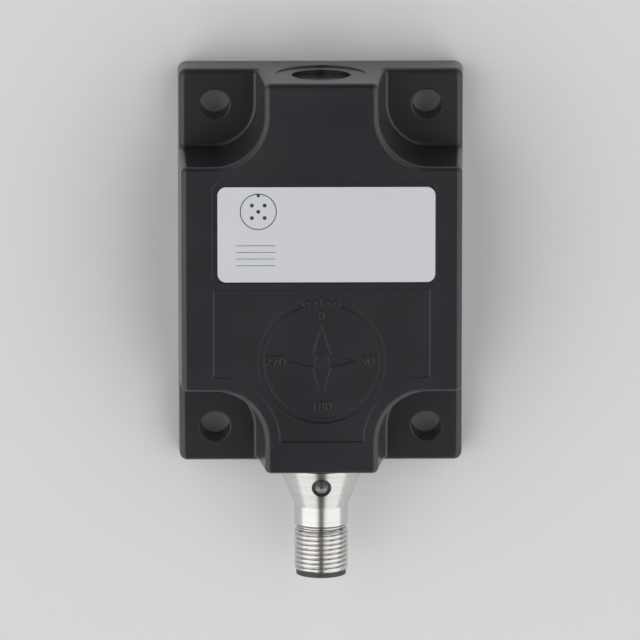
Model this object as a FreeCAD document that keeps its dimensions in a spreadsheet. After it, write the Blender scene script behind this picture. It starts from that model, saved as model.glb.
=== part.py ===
"""Inclination sensor: a cast metal housing that screws down by four corner ears.

The label face looks up, the round plug connector points to -Y and the blank port
is at the +Y end. The origin is the middle of the four mounting holes, on the
mounting face. Lengths are millimetres and angles degrees.
"""
import FreeCAD, Part
import math
import os
import re

import Sketcher

doc = FreeCAD.newDocument("tilt_sensor")


# Driving sizes: name, value, what it measures
SIZES = [
    ("housing_length", 90.0, "housing, along Y, at the mounting face"),
    ("housing_width", 64.0, "housing, along X, at the mounting face"),
    ("housing_height", 26.0, "mounting face to label face"),
    ("side_draft", 1.75, "draft of the outer sides"),
    ("plan_corner", 2.0, "outer corner radius in plan"),
    ("ear_height", 9.0, "mounting face to the floor of the corner steps"),
    ("ear_wall_draft", 6.2, "draft of the walls above the ears"),
    ("arm_width", 28.8, "end arms at ear level"),
    ("shoulder_length", 54.4, "full-width middle at ear level"),
    ("step_corner", 9.75, "plan radius of each corner step, at its floor"),
    ("step_overrun", 6.0, "how far the step's cut runs out past the sides"),
    ("outline_edge", 1.4, "radius round the ears and up the ends of the walls"),
    ("top_edge", 1.3, "radius round the label face"),
    ("floor_edge", 0.8, "radius between ear and wall"),
    ("hole_shift_x", 0.55, "mounting holes, outwards along X from the ear's middle"),
    ("hole_shift_y", 0.65, "mounting holes, outwards along Y from the ear's middle"),
    ("mounting_hole", 6.6, "bore for an M6 screw"),
    ("hole_rim", 0.3, "radius at the rim of the mounting holes"),
    ("roof", 3.0, "wall under the label face"),
    ("side_wall", 4.0, "wall beside the chamber, at the mounting face"),
    ("chamber_length", 44.0, "inner chamber, along Y"),
    ("chamber_draft", 1.0, "draft of the chamber walls"),
    ("chamber_corner", 3.0, "corner radius of the chamber"),
    ("plate_ledge", 2.0, "side ledge that the base plate rests on"),
    ("plate_length", 56.4, "base plate, along Y"),
    ("plate_thickness", 2.0, "base plate"),
    ("plate_inset", 0.4, "mounting face to base plate"),
    ("plate_corner", 3.0, "corner radius of the base plate"),
    ("plate_gap", 0.15, "clearance round the base plate"),
    ("gasket_thickness", 0.6, "flat gasket under the base plate"),
    ("gasket_gap", 0.3, "gasket to the chamber's edge"),
    ("plate_screw_side", 4.5, "base plate screws to the sides of the plate's recess"),
    ("plate_screw_end", 3.2, "base plate screws to the plate's ends"),
    ("plate_screw", 3.0, "base plate screw, nominal"),
    ("plate_screw_head", 5.6, "countersunk head"),
    ("plate_screw_length", 8.0, "with its head"),
    ("screw_gap", 0.1, "clearance round a screw's shank and below its tip"),
    ("connector_drop", 11.0, "label face to the connector axis"),
    ("spot_face", 20.4, "flat round seat at each end"),
    ("spot_face_inset", 0.55, "housing end to seat"),
    ("blank_port", 13.2, "blind recess of the spare port"),
    ("blank_port_depth", 1.3, "blind recess of the spare port"),
    ("shank", 13.9, "connector shell inside the housing"),
    ("shank_length", 8.0, "connector shell inside the housing"),
    ("shank_gap", 0.05, "clearance round the connector shell, per side"),
    ("passage", 13.0, "round passage from connector to chamber"),
    ("cone_base", 19.2, "connector shell at the seat"),
    ("cone_length", 8.85, "taper of the connector shell"),
    ("thread_diameter", 12.0, "plug thread of the connector shell"),
    ("plain_length", 4.3, "plain part between taper and thread"),
    ("undercut_length", 0.9, "groove before the thread"),
    ("undercut_depth", 0.45, "groove before the thread"),
    ("thread_length", 8.9, "plug thread"),
    ("thread_chamfer", 0.35, "lead-in of the plug thread"),
    ("front_bore", 10.0, "shell bore that holds the contact carrier"),
    ("rear_bore", 9.2, "shell bore behind the carrier"),
    ("ring_section", 1.4, "sealing ring section"),
    ("ring_gap", 0.05, "clearance round the sealing ring"),
    ("carrier_gap", 0.05, "clearance round the contact carrier, per side"),
    ("carrier_length", 13.4, "contact carrier inside the shell"),
    ("collar_diameter", 11.2, "front collar of the carrier"),
    ("collar_length", 1.9, "front collar of the carrier"),
    ("socket_diameter", 8.6, "open socket round the pins"),
    ("socket_depth", 9.3, "open socket round the pins"),
    ("key_width", 1.1, "coding key in the socket"),
    ("key_height", 0.7, "coding key in the socket"),
    ("pin_diameter", 1.0, "contact pin"),
    ("pin_circle", 5.5, "circle of the outer four pins"),
    ("pin_gap", 0.05, "clearance round a pin, per side"),
    ("pin_setback", 2.3, "collar's front to pin tips"),
    ("pin_tail", 0.5, "pin past the flexible circuit"),
    ("window_offset", 3.6, "seat to the middle of the indicator window"),
    ("window_bore", 4.4, "indicator window"),
    ("window_seat", 6.0, "connector axis to the seat of the lens"),
    ("light_bore", 2.6, "bore under the lens"),
    ("lens_gap", 0.05, "clearance round the lens, per side"),
    ("lens_edge_height", 0.5, "straight side of the lens"),
    ("lens_dome", 0.8, "rise of the lens"),
    ("lamp_board_length", 6.0, "indicator board, along Y"),
    ("lamp_board_width", 5.0, "indicator board, along X"),
    ("lamp_board_thickness", 0.6, "indicator board"),
    ("lamp_board_gap", 0.1, "solder film between pins and indicator board"),
    ("lamp_length", 2.0, "indicator lamp"),
    ("lamp_width", 1.25, "indicator lamp"),
    ("lamp_height", 0.8, "indicator lamp"),
    ("flex_thickness", 0.3, "flexible circuit"),
    ("flex_width", 7.0, "flexible circuit"),
    ("flex_behind_shell", 2.4, "shell's inner end to the flexible circuit"),
    ("flex_drop", 3.5, "flexible circuit below the connector axis"),
    ("flex_over_header", 2.0, "top of the board header to the flexible circuit"),
    ("flex_bend", 1.0, "bend radius at its middle line"),
    ("header_y", 18.0, "board header from the middle"),
    ("header_length", 9.6, "board header, along X"),
    ("header_width", 3.6, "board header, along Y"),
    ("header_height", 4.5, "board header"),
    ("slot_gap", 0.1, "clearance round the flexible circuit in its slot"),
    ("slot_depth", 2.5, "slot in the board header"),
    ("board_gap", 0.8, "board to chamber walls"),
    ("board_thickness", 1.6, "main board"),
    ("boss_side", 5.0, "board bosses to the chamber's sides"),
    ("boss_end", 5.0, "board bosses to the chamber's ends"),
    ("boss_diameter", 6.0, "board bosses"),
    ("board_screw", 2.5, "board screw, nominal"),
    ("board_screw_head", 4.6, "board screw"),
    ("board_screw_head_height", 1.6, "board screw"),
    ("board_screw_length", 7.0, "under its head"),
    ("label_margin", 7.8, "label to the housing's sides, before it is set off"),
    ("label_width", 21.5, "label, along Y"),
    ("label_thickness", 0.2, "label"),
    ("label_corner", 1.9, "label"),
    ("label_x", 1.05, "middle of the label"),
    ("label_y", 10.25, "middle of the label"),
    ("label_gap", 0.2, "label to its recess, on the right and below"),
    ("label_slack", 1.2, "label to its recess, on the left and above"),
    ("label_recess", 0.3, "depth of the label's recess"),
    ("panel_top", 2.2, "compass panel, its straight edge below the middle"),
    ("panel_offset", 3.2, "compass panel to the corner steps"),
    ("panel_depth", 0.25, "compass panel"),
    ("compass_y", 18.5, "compass centre below the middle"),
    ("compass_ring", 27.0, "compass ring, middle of the groove"),
    ("compass_ring_width", 1.4, "compass ring"),
    ("relief_depth", 0.35, "compass ring and star, below the panel"),
    ("relief_draft", 35.0, "slope of the relief's walls"),
    ("ring_opening", 36.0, "angle left open in the ring, towards the label"),
    ("star_length", 16.8, "star, along Y"),
    ("star_width", 5.2, "waist of the long points"),
    ("star_cross_length", 16.6, "star, along X"),
    ("star_cross_width", 3.8, "waist of the cross points"),
    ("star_hub", 3.4, "round hub of the star"),
    ("plate_screw_socket", 2.3, "hexagon socket, across its corners"),
    ("plate_screw_socket_depth", 1.2, "hexagon socket"),
    ("board_screw_socket", 1.8, "hexagon socket, across its corners"),
    ("board_screw_socket_depth", 1.0, "hexagon socket"),
    ("lead_width", 0.4, "flat leads of the board's packages"),
    ("lead_thickness", 0.2, "flat leads of the board's packages"),
    ("lead_reach", 0.9, "flat leads past their package"),
    ("package_edge", 0.3, "radius on packages"),
    ("tilt_chip_x", 0.0, "place on the board"),
    ("tilt_chip_y", 3.0, "place on the board"),
    ("tilt_chip_side", 8.5, "ceramic package"),
    ("tilt_chip_height", 3.4, "ceramic package"),
    ("controller_x", -14.5, "place on the board"),
    ("controller_y", 5.0, "place on the board"),
    ("controller_side", 10.0, "moulded package"),
    ("controller_height", 1.6, "moulded package"),
    ("controller_leads", 11, "leads on each side"),
    ("controller_pitch", 0.8, "lead pitch"),
    ("transceiver_x", 14.5, "place on the board"),
    ("transceiver_y", 5.0, "place on the board"),
    ("transceiver_length", 5.0, "moulded package"),
    ("transceiver_width", 4.0, "moulded package"),
    ("transceiver_height", 1.7, "moulded package"),
    ("transceiver_lead_count", 4, "leads on each side"),
    ("transceiver_pitch", 1.27, "lead pitch"),
    ("crystal_x", -14.0, "place on the board"),
    ("crystal_y", -8.0, "place on the board"),
    ("crystal_length", 11.2, "metal can"),
    ("crystal_width", 4.6, "metal can"),
    ("crystal_height", 3.5, "metal can"),
    ("regulator_x", 15.0, "place under the board"),
    ("regulator_y", -8.0, "place under the board"),
    ("regulator_length", 6.5, "moulded package"),
    ("regulator_width", 6.1, "moulded package"),
    ("regulator_height", 2.3, "moulded package"),
    ("regulator_tab", 5.3, "soldered tab"),
    ("regulator_tab_reach", 1.1, "soldered tab past the package"),
    ("regulator_pitch", 4.6, "its two legs"),
    ("regulator_leg_reach", 2.6, "its two legs past the package"),
    ("capacitor_x", -23.5, "place under the board, before the first"),
    ("capacitor_pitch", 8.5, "from one to the next"),
    ("capacitor_y", 6.0, "place under the board"),
    ("capacitor_base", 6.6, "square base"),
    ("capacitor_base_height", 0.9, "square base"),
    ("capacitor_diameter", 6.3, "metal can"),
    ("capacitor_height", 5.8, "with its base"),
    ("inductor_x", 12.0, "place under the board"),
    ("inductor_y", 6.0, "place under the board"),
    ("inductor_side", 7.3, "square base"),
    ("inductor_base_height", 1.0, "square base"),
    ("inductor_coil", 6.8, "round coil body"),
    ("inductor_height", 3.6, "with its base"),
    ("diode_x", -12.0, "place under the board"),
    ("diode_y", -8.0, "place under the board"),
    ("diode_length", 3.6, "moulded package"),
    ("diode_width", 4.3, "moulded package"),
    ("diode_height", 2.3, "moulded package"),
    ("diode_lead_count", 4, "flat leads side by side"),
    ("diode_pitch", 0.7, "lead pitch"),
]

# Sizes that follow from the driving ones: name, formula, what it measures
FOLLOWERS = [
    ("hole_spacing_x", "=(arm_width + housing_width) / 2 + 2 * hole_shift_x", "mounting holes, along X"),
    ("hole_spacing_y", "=(shoulder_length + housing_length) / 2 + 2 * hole_shift_y", "mounting holes, along Y"),
    ("plate_screw_x", "=housing_width - 2 * (side_wall - plate_ledge + plate_screw_side)",
     "base plate screws, along X"),
    ("plate_screw_y", "=plate_length - 2 * plate_screw_end", "base plate screws, along Y"),
    ("boss_x", "=housing_width - 2 * (side_wall + boss_side)", "board bosses, along X"),
    ("boss_y", "=chamber_length - 2 * boss_end", "board bosses, along Y"),
    ("connector_height", "=housing_height - connector_drop", "connector axis above the mounting face"),
    ("board_top", "=(plate_inset + plate_thickness + gasket_thickness + housing_height - roof) / 2",
     "mounting face to the board's upper side, midway from gasket to roof"),
    ("flex_rise", "=board_top + header_height + flex_over_header - connector_height",
     "flexible circuit above the connector axis"),
    ("label_length", "=housing_width - 2 * label_margin", "label, along X"),
]

sizes = doc.addObject("Spreadsheet::Sheet", "sizes")
for row, (alias, amount, note) in enumerate(SIZES + FOLLOWERS, start=1):
    sizes.set(f"A{row}", alias)
    sizes.set(f"B{row}", str(amount))
    sizes.set(f"C{row}", note)
    sizes.setAlias(f"B{row}", alias)
doc.recompute()

ALIASES = {alias for alias, _, _ in SIZES + FOLLOWERS}


def formula(text):
    """A formula in the names of the sizes, as the document's expressions want it."""
    return re.sub(r"[a-z_]+", lambda word: ("sizes." + word[0]) if word[0] in ALIASES else word[0], text)


def worth(text):
    """The number that a formula gives now."""
    found = sizes.evalExpression(formula(text))
    return float(getattr(found, "Value", found))


def bind(thing, **formulas):
    """Ties properties of an object to formulas; a double underscore stands for a dot."""
    for name, text in formulas.items():
        thing.setExpression(name.replace("__", "."), formula(text))


def new_body(name):
    body = doc.addObject("PartDesign::Body", name)
    body.Label = name
    return body


def new_sketch(body, name, plane="XY_Plane", lift="0", origin_up="0"):
    """A sketch on one of the body's own planes, lifted along the plane's normal."""
    sketch = body.newObject("Sketcher::SketchObject", name)
    support = next(part for part in body.Origin.OriginFeatures if part.Role == plane)
    sketch.AttachmentSupport = (support, [""])
    sketch.MapMode = "FlatFace"
    bind(sketch, AttachmentOffset__Base__z=lift, AttachmentOffset__Base__y=origin_up)
    return sketch


def fix(sketch, kind, *where, text):
    """One dimension of a sketch, driven by a formula."""
    index = sketch.addConstraint(Sketcher.Constraint(kind, *where, worth(text)))
    sketch.setExpression(f"Constraints[{index}]", formula(text))


def place_point(sketch, edge, end, x, y):
    fix(sketch, "DistanceX", -1, 1, edge, end, text=x)
    fix(sketch, "DistanceY", -1, 1, edge, end, text=y)


def polygon(sketch, corners):
    """A closed outline of straight edges through corners given as formulas."""
    points = [FreeCAD.Vector(worth(x), worth(y), 0) for x, y in corners]
    edges = [sketch.addGeometry(Part.LineSegment(start, end))
             for start, end in zip(points, points[1:] + points[:1])]
    for edge, follower in zip(edges, edges[1:] + edges[:1]):
        sketch.addConstraint(Sketcher.Constraint("Coincident", edge, 2, follower, 1))
    for edge, (x, y) in zip(edges, corners):
        place_point(sketch, edge, 1, x, y)


def circle(sketch, x, y, diameter):
    centre = FreeCAD.Vector(worth(x), worth(y), 0)
    edge = sketch.addGeometry(Part.Circle(centre, FreeCAD.Vector(0, 0, 1), worth(diameter) / 2))
    place_point(sketch, edge, 3, x, y)
    fix(sketch, "Diameter", edge, text=diameter)


def rounded_outline(sketch, corners):
    """A closed outline whose corners are (x, y, radius), all formulas; radius 0 is sharp.

    Each rounded corner is an arc tangent to its two edges, which are square to each other.
    """
    flat = [(FreeCAD.Vector(worth(x), worth(y), 0), worth(radius)) for x, y, radius in corners]
    count = len(flat)
    starts, ends, centres = [], [], []
    for index, (point, radius) in enumerate(flat):
        before = (flat[index - 1][0] - point).normalize()
        after = (flat[(index + 1) % count][0] - point).normalize()
        starts.append(point + before * radius)
        ends.append(point + after * radius)
        centres.append(point + (before + after) * radius)
    edges = []
    for index, (x, y, _) in enumerate(corners):
        line = Part.LineSegment(ends[index], starts[(index + 1) % count])
        edge = sketch.addGeometry(line)
        if abs(line.StartPoint.x - line.EndPoint.x) < abs(line.StartPoint.y - line.EndPoint.y):
            sketch.addConstraint(Sketcher.Constraint("Vertical", edge))
            fix(sketch, "DistanceX", -1, 1, edge, 1, text=x)
        else:
            sketch.addConstraint(Sketcher.Constraint("Horizontal", edge))
            fix(sketch, "DistanceY", -1, 1, edge, 1, text=y)
        edges.append(edge)
    for index, (point, radius) in enumerate(flat):
        came, goes = edges[index - 1], edges[index]
        if radius == 0:
            sketch.addConstraint(Sketcher.Constraint("Coincident", came, 2, goes, 1))
            continue
        middle = centres[index]
        first = math.atan2(starts[index].y - middle.y, starts[index].x - middle.x)
        last = math.atan2(ends[index].y - middle.y, ends[index].x - middle.x)
        forward = (starts[index] - middle).cross(ends[index] - middle).z > 0
        begin, stop = (first, last) if forward else (last, first)
        near, far = (1, 2) if forward else (2, 1)
        ring = Part.Circle(middle, FreeCAD.Vector(0, 0, 1), radius)
        arc = sketch.addGeometry(Part.ArcOfCircle(ring, begin, stop))
        sketch.addConstraint(Sketcher.Constraint("Tangent", came, 2, arc, near))
        sketch.addConstraint(Sketcher.Constraint("Tangent", arc, far, goes, 1))
        fix(sketch, "Radius", arc, text=corners[index][2])


def rounded_rectangle(sketch, left, right, low, high, radius):
    rounded_outline(sketch, [(left, low, radius), (right, low, radius),
                             (right, high, radius), (left, high, radius)])


def four_corners(spacing_x, spacing_y):
    """The corners of a rectangle round the middle, as pairs of formulas."""
    return [(f"{x} * {spacing_x} / 2", f"{y} * {spacing_y} / 2") for x in (-1, 1) for y in (-1, 1)]


def pad(body, sketch, length, draft=None, reversed_way=False):
    feature = body.newObject("PartDesign::Pad", sketch.Name + "_pad")
    feature.Profile = sketch
    feature.Reversed = reversed_way
    bind(feature, Length=length)
    if draft:
        bind(feature, TaperAngle=draft)
    doc.recompute()
    return feature


def pocket(body, sketch, depth, draft=None, reversed_way=False):
    """Cuts the sketch into the body, against the sketch's normal unless reversed."""
    before = body.Shape.Volume
    feature = body.newObject("PartDesign::Pocket", sketch.Name + "_pocket")
    feature.Profile = sketch
    feature.Reversed = reversed_way
    bind(feature, Length=depth)
    if draft:
        bind(feature, TaperAngle=draft)
    doc.recompute()
    if not body.Shape.Volume < before - 1e-6:
        raise RuntimeError(f"{feature.Name} cuts nothing")
    return feature


def revolve(body, sketch, axis="H_Axis", angle="360", cut=False):
    kind = "Groove" if cut else "Revolution"
    feature = body.newObject("PartDesign::" + kind, sketch.Name + "_turned")
    feature.Profile = sketch
    feature.ReferenceAxis = (sketch, [axis])
    bind(feature, Angle=angle)
    doc.recompute()
    return feature


def round_edges(body, name, radius, chosen):
    """Rounds each edge of the body that the test picks out."""
    bind(treat_edges(body, "Fillet", name, chosen), Radius=radius)
    doc.recompute()


def bevel_edges(body, name, size, chosen):
    """Bevels each edge of the body that the test picks out, at 45 degrees."""
    bind(treat_edges(body, "Chamfer", name, chosen), Size=size)
    doc.recompute()


def treat_edges(body, kind, name, chosen):
    base = body.Tip
    names = [f"Edge{number}" for number, edge in enumerate(base.Shape.Edges, start=1) if chosen(edge)]
    if not names:
        raise RuntimeError(f"{name} finds no edge")
    feature = body.newObject("PartDesign::" + kind, name)
    feature.Base = (base, names)
    return feature


def level(edge, height, slack=1e-4):
    """Whether an edge lies flat at a height."""
    box = edge.BoundBox
    return abs(box.ZMin - height) < slack and abs(box.ZMax - height) < slack


def rim_of(edge, height, radius):
    """Whether an edge is a level circle of this height and radius, both formulas."""
    return level(edge, worth(height)) and abs(getattr(edge.Curve, "Radius", 0) - worth(radius)) < 1e-6


# Housing: one aluminium casting with four corner steps, hollow from the mounting face
STEP_HEIGHT = "(housing_height - ear_height)"
STEP_SPREAD = f"{STEP_HEIGHT} * tan(ear_wall_draft)"
ARM_TOP = f"(arm_width / 2 - {STEP_SPREAD})"
SHOULDER_TOP = f"(shoulder_length / 2 - {STEP_SPREAD})"
STEP_TOP_RADIUS = f"(step_corner + {STEP_SPREAD})"
CHAMBER_HALF_X = "(housing_width / 2 - side_wall)"
CHAMBER_HALF_Y = "(chamber_length / 2)"
LEDGE_HALF_X = f"({CHAMBER_HALF_X} + plate_ledge)"
LEDGE_HALF_Y = "(plate_length / 2 + plate_gap)"
LEDGE_HEIGHT = "(plate_inset + plate_thickness + gasket_thickness)"
CEILING = "(housing_height - roof)"
SEAT_Y = "(housing_length / 2 - spot_face_inset)"

housing = new_body("housing")
block = new_sketch(housing, "block_outline")
rounded_rectangle(block, "-housing_width / 2", "housing_width / 2",
                  "-housing_length / 2", "housing_length / 2", "plan_corner")
pad(housing, block, "housing_height", draft="-side_draft")


def step_outline(sketch, arm, shoulder, radius):
    """One corner step in plan: it runs out past the sides and has one rounded inner corner."""
    side, end = "housing_width / 2 + step_overrun", "housing_length / 2 + step_overrun"
    rounded_outline(sketch, [(arm, shoulder, radius), (side, shoulder, "0"), (side, end, "0"), (arm, end, "0")])


step_floor = new_sketch(housing, "step_floor", lift="ear_height")
step_outline(step_floor, "arm_width / 2", "shoulder_length / 2", "step_corner")
step_top = new_sketch(housing, "step_top", lift="housing_height")
step_outline(step_top, ARM_TOP, SHOULDER_TOP, STEP_TOP_RADIUS)
corner_step = housing.newObject("PartDesign::SubtractiveLoft", "corner_step")
corner_step.Profile = step_floor
corner_step.Sections = [step_top]
doc.recompute()

all_steps = housing.newObject("PartDesign::MultiTransform", "all_corner_steps")
all_steps.Originals = [corner_step]
housing.Tip = all_steps
mirrors = []
for name, plane in (("step_other_side", "YZ_Plane"), ("step_other_end", "XZ_Plane")):
    mirror = housing.newObject("PartDesign::Mirrored", name)
    mirror.MirrorPlane = (next(p for p in housing.Origin.OriginFeatures if p.Role == plane), [""])
    mirrors.append(mirror)
all_steps.Transformations = mirrors
housing.Tip = all_steps
doc.recompute()


def on_side(vertex):
    """Whether a corner point lies on one of the four drafted sides."""
    lean = vertex.Z * math.tan(math.radians(worth("side_draft")))
    off_x = abs(abs(vertex.X) - (worth("housing_width / 2") - lean))
    off_y = abs(abs(vertex.Y) - (worth("housing_length / 2") - lean))
    return min(off_x, off_y) < 1e-3


def step_foot(edge):
    """The inner edges of the ears, at the foot of the walls."""
    return level(edge, worth("ear_height")) and not all(on_side(vertex) for vertex in edge.Vertexes)


def side_outline(edge):
    """The outer edges of the ears, and from there up the ends of the walls to the label face."""
    box = edge.BoundBox
    below_top = box.ZMin < worth("housing_height - top_edge")
    return below_top and box.ZMin > worth("ear_height") - 0.01 and all(on_side(v) for v in edge.Vertexes)


round_edges(housing, "foot_edges", "floor_edge", step_foot)
round_edges(housing, "outline_edges", "outline_edge", side_outline)
round_edges(housing, "top_edges", "top_edge", lambda edge: level(edge, worth("housing_height")))

mounting_holes = new_sketch(housing, "mounting_holes", lift="ear_height")
for x, y in four_corners("hole_spacing_x", "hole_spacing_y"):
    circle(mounting_holes, x, y, "mounting_hole")
pocket(housing, mounting_holes, "ear_height")
round_edges(housing, "hole_rims", "hole_rim", lambda edge: rim_of(edge, "ear_height", "mounting_hole / 2"))

# Round seats on both ends, the spare port's blind recess and the connector's bore
for name, lift, outward in (("plug_end_seat", SEAT_Y, True), ("blank_end_seat", f"-{SEAT_Y}", False)):
    seat = new_sketch(housing, name, plane="XZ_Plane", lift=lift, origin_up="connector_height")
    circle(seat, "0", "0", "spot_face")
    pocket(housing, seat, "2 * spot_face_inset", reversed_way=outward)

blank_port = new_sketch(housing, "blank_port", plane="XZ_Plane", lift=f"-{SEAT_Y}", origin_up="connector_height")
circle(blank_port, "0", "0", "blank_port")
pocket(housing, blank_port, "blank_port_depth", reversed_way=True)

# Chamber and the seat of the base plate, cut from the mounting face
plate_ledge = new_sketch(housing, "plate_seat")
rounded_rectangle(plate_ledge, f"-{LEDGE_HALF_X}", LEDGE_HALF_X, f"-{LEDGE_HALF_Y}", LEDGE_HALF_Y,
                  "plate_corner + plate_gap")
pocket(housing, plate_ledge, LEDGE_HEIGHT, reversed_way=True)

chamber = new_sketch(housing, "chamber", lift=LEDGE_HEIGHT)
rounded_rectangle(chamber, f"-{CHAMBER_HALF_X}", CHAMBER_HALF_X, f"-{CHAMBER_HALF_Y}", CHAMBER_HALF_Y,
                  "chamber_corner")
pocket(housing, chamber, f"{CEILING} - {LEDGE_HEIGHT}", draft="-chamber_draft", reversed_way=True)

for name, diameter, depth in (
        ("shank_bore", "shank + 2 * shank_gap", "shank_length + shank_gap"),
        ("passage_bore", "passage", f"{SEAT_Y} - {CHAMBER_HALF_Y} + chamber_corner")):
    bore = new_sketch(housing, name, plane="XZ_Plane", lift=SEAT_Y, origin_up="connector_height")
    circle(bore, "0", "0", diameter)
    pocket(housing, bore, depth)

bosses = new_sketch(housing, "board_bosses", lift="board_top")
boss_holes = new_sketch(housing, "boss_holes", lift="board_top")
for x, y in four_corners("boss_x", "boss_y"):
    circle(bosses, x, y, "boss_diameter")
    circle(boss_holes, x, y, "board_screw + 2 * screw_gap")
pad(housing, bosses, f"{CEILING} - board_top")
pocket(housing, boss_holes, "board_screw_length - board_thickness + screw_gap", reversed_way=True)

plate_screw_holes = new_sketch(housing, "plate_screw_holes", lift=LEDGE_HEIGHT)
for x, y in four_corners("plate_screw_x", "plate_screw_y"):
    circle(plate_screw_holes, x, y, "plate_screw + 2 * screw_gap")
pocket(housing, plate_screw_holes, f"plate_inset + plate_screw_length + screw_gap - {LEDGE_HEIGHT}",
       reversed_way=True)

# Shallow forms in the label face: the label's seat, the compass panel, its ring and star
LABEL_LEFT, LABEL_RIGHT = "(label_x - label_length / 2)", "(label_x + label_length / 2)"
LABEL_LOW, LABEL_HIGH = "(label_y - label_width / 2)", "(label_y + label_width / 2)"
label_seat = new_sketch(housing, "label_seat", lift="housing_height")
rounded_rectangle(label_seat, f"{LABEL_LEFT} - label_slack", f"{LABEL_RIGHT} + label_gap",
                  f"{LABEL_LOW} - label_gap", f"{LABEL_HIGH} + label_slack", "label_corner + label_gap")
pocket(housing, label_seat, "label_recess")

STEP_CENTRE_X = f"({ARM_TOP} + {STEP_TOP_RADIUS})"
STEP_CENTRE_Y = f"({SHOULDER_TOP} + {STEP_TOP_RADIUS})"
PANEL_RADIUS = f"({STEP_TOP_RADIUS} + panel_offset)"


def panel_outline(sketch):
    """Straight edge under the label, upright sides, then arcs that follow the corner steps."""
    side, foot = worth(STEP_CENTRE_X), -worth(STEP_CENTRE_Y)
    top, radius = -worth("panel_top"), worth(PANEL_RADIUS)
    top_left, top_right = FreeCAD.Vector(-side, top, 0), FreeCAD.Vector(side, top, 0)
    right_end, left_end = FreeCAD.Vector(side, foot + radius, 0), FreeCAD.Vector(-side, foot + radius, 0)
    foot_right, foot_left = FreeCAD.Vector(side - radius, foot, 0), FreeCAD.Vector(radius - side, foot, 0)
    lines = [sketch.addGeometry(Part.LineSegment(start, end)) for start, end in (
        (top_left, top_right), (top_right, right_end), (foot_right, foot_left), (left_end, top_left))]
    upward = FreeCAD.Vector(0, 0, 1)
    right_arc = sketch.addGeometry(Part.ArcOfCircle(
        Part.Circle(FreeCAD.Vector(side, foot, 0), upward, radius), math.pi / 2, math.pi))
    left_arc = sketch.addGeometry(Part.ArcOfCircle(
        Part.Circle(FreeCAD.Vector(-side, foot, 0), upward, radius), 0, math.pi / 2))
    head, right, base, left = lines
    for first, first_end, second, second_end in (
            (head, 2, right, 1), (right, 2, right_arc, 1), (right_arc, 2, base, 1),
            (base, 2, left_arc, 1), (left_arc, 2, left, 1), (left, 2, head, 1)):
        sketch.addConstraint(Sketcher.Constraint("Coincident", first, first_end, second, second_end))
    for line, direction in ((head, "Horizontal"), (right, "Vertical"), (base, "Horizontal"), (left, "Vertical")):
        sketch.addConstraint(Sketcher.Constraint(direction, line))
    place_point(sketch, right_arc, 3, STEP_CENTRE_X, f"-{STEP_CENTRE_Y}")
    place_point(sketch, left_arc, 3, f"-{STEP_CENTRE_X}", f"-{STEP_CENTRE_Y}")
    fix(sketch, "Radius", right_arc, text=PANEL_RADIUS)
    fix(sketch, "Radius", left_arc, text=PANEL_RADIUS)
    fix(sketch, "DistanceY", -1, 1, head, 1, text="-panel_top")
    fix(sketch, "DistanceX", -1, 1, right, 1, text=STEP_CENTRE_X)
    fix(sketch, "DistanceX", -1, 1, left, 1, text=f"-{STEP_CENTRE_X}")
    fix(sketch, "DistanceY", -1, 1, base, 1, text=f"-{STEP_CENTRE_Y}")


panel = new_sketch(housing, "compass_panel", lift="housing_height")
panel_outline(panel)
pocket(housing, panel, "panel_depth", draft="-relief_draft")

PANEL_FLOOR = "(housing_height - panel_depth)"
RING_INNER = "(compass_ring / 2 - compass_ring_width / 2)"
RING_OUTER = "(compass_ring / 2 + compass_ring_width / 2)"
RELIEF_SLOPE = "relief_depth * tan(relief_draft)"
ring_groove = new_sketch(housing, "ring_groove", plane="YZ_Plane", origin_up=PANEL_FLOOR)
bind(ring_groove, AttachmentOffset__Base__x="-compass_y")
polygon(ring_groove, [
    (f"-{RING_OUTER}", "panel_depth / 2"),
    (f"-{RING_INNER}", "panel_depth / 2"),
    (f"-{RING_INNER}", "0"),
    (f"-{RING_INNER} - {RELIEF_SLOPE}", "-relief_depth"),
    (f"-{RING_OUTER} + {RELIEF_SLOPE}", "-relief_depth"),
    (f"-{RING_OUTER}", "0"),
])
ring = revolve(housing, ring_groove, axis="V_Axis", angle="360 - ring_opening", cut=True)
ring.Midplane = True
doc.recompute()

for name, half_x, half_y in (("long_points", "star_width / 2", "star_length / 2"),
                             ("cross_points", "star_cross_length / 2", "star_cross_width / 2")):
    points = new_sketch(housing, name, lift=PANEL_FLOOR)
    polygon(points, [(half_x, "-compass_y"), ("0", f"{half_y} - compass_y"),
                     (f"-{half_x}", "-compass_y"), ("0", f"-{half_y} - compass_y")])
    pocket(housing, points, "relief_depth", draft="-relief_draft")

hub = new_sketch(housing, "star_hub", lift=f"{PANEL_FLOOR} - relief_depth")
circle(hub, "0", "-compass_y", "star_hub")
pad(housing, hub, "relief_depth")


# Base plate, its gasket and its four countersunk screws close the chamber
base_plate = new_body("base_plate")
plate_outline = new_sketch(base_plate, "plate_outline", lift="plate_inset")
PLATE_HALF_X = f"({LEDGE_HALF_X} - plate_gap)"
rounded_rectangle(plate_outline, f"-{PLATE_HALF_X}", PLATE_HALF_X, "-plate_length / 2", "plate_length / 2",
                  "plate_corner")
pad(base_plate, plate_outline, "plate_thickness")
plate_holes = new_sketch(base_plate, "plate_holes", lift="plate_inset")
for x, y in four_corners("plate_screw_x", "plate_screw_y"):
    circle(plate_holes, x, y, "plate_screw + 2 * screw_gap")
pocket(base_plate, plate_holes, "plate_thickness", reversed_way=True)
bevel_edges(base_plate, "countersinks", "(plate_screw_head - plate_screw) / 2",
            lambda edge: rim_of(edge, "plate_inset", "plate_screw / 2 + screw_gap"))

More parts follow.
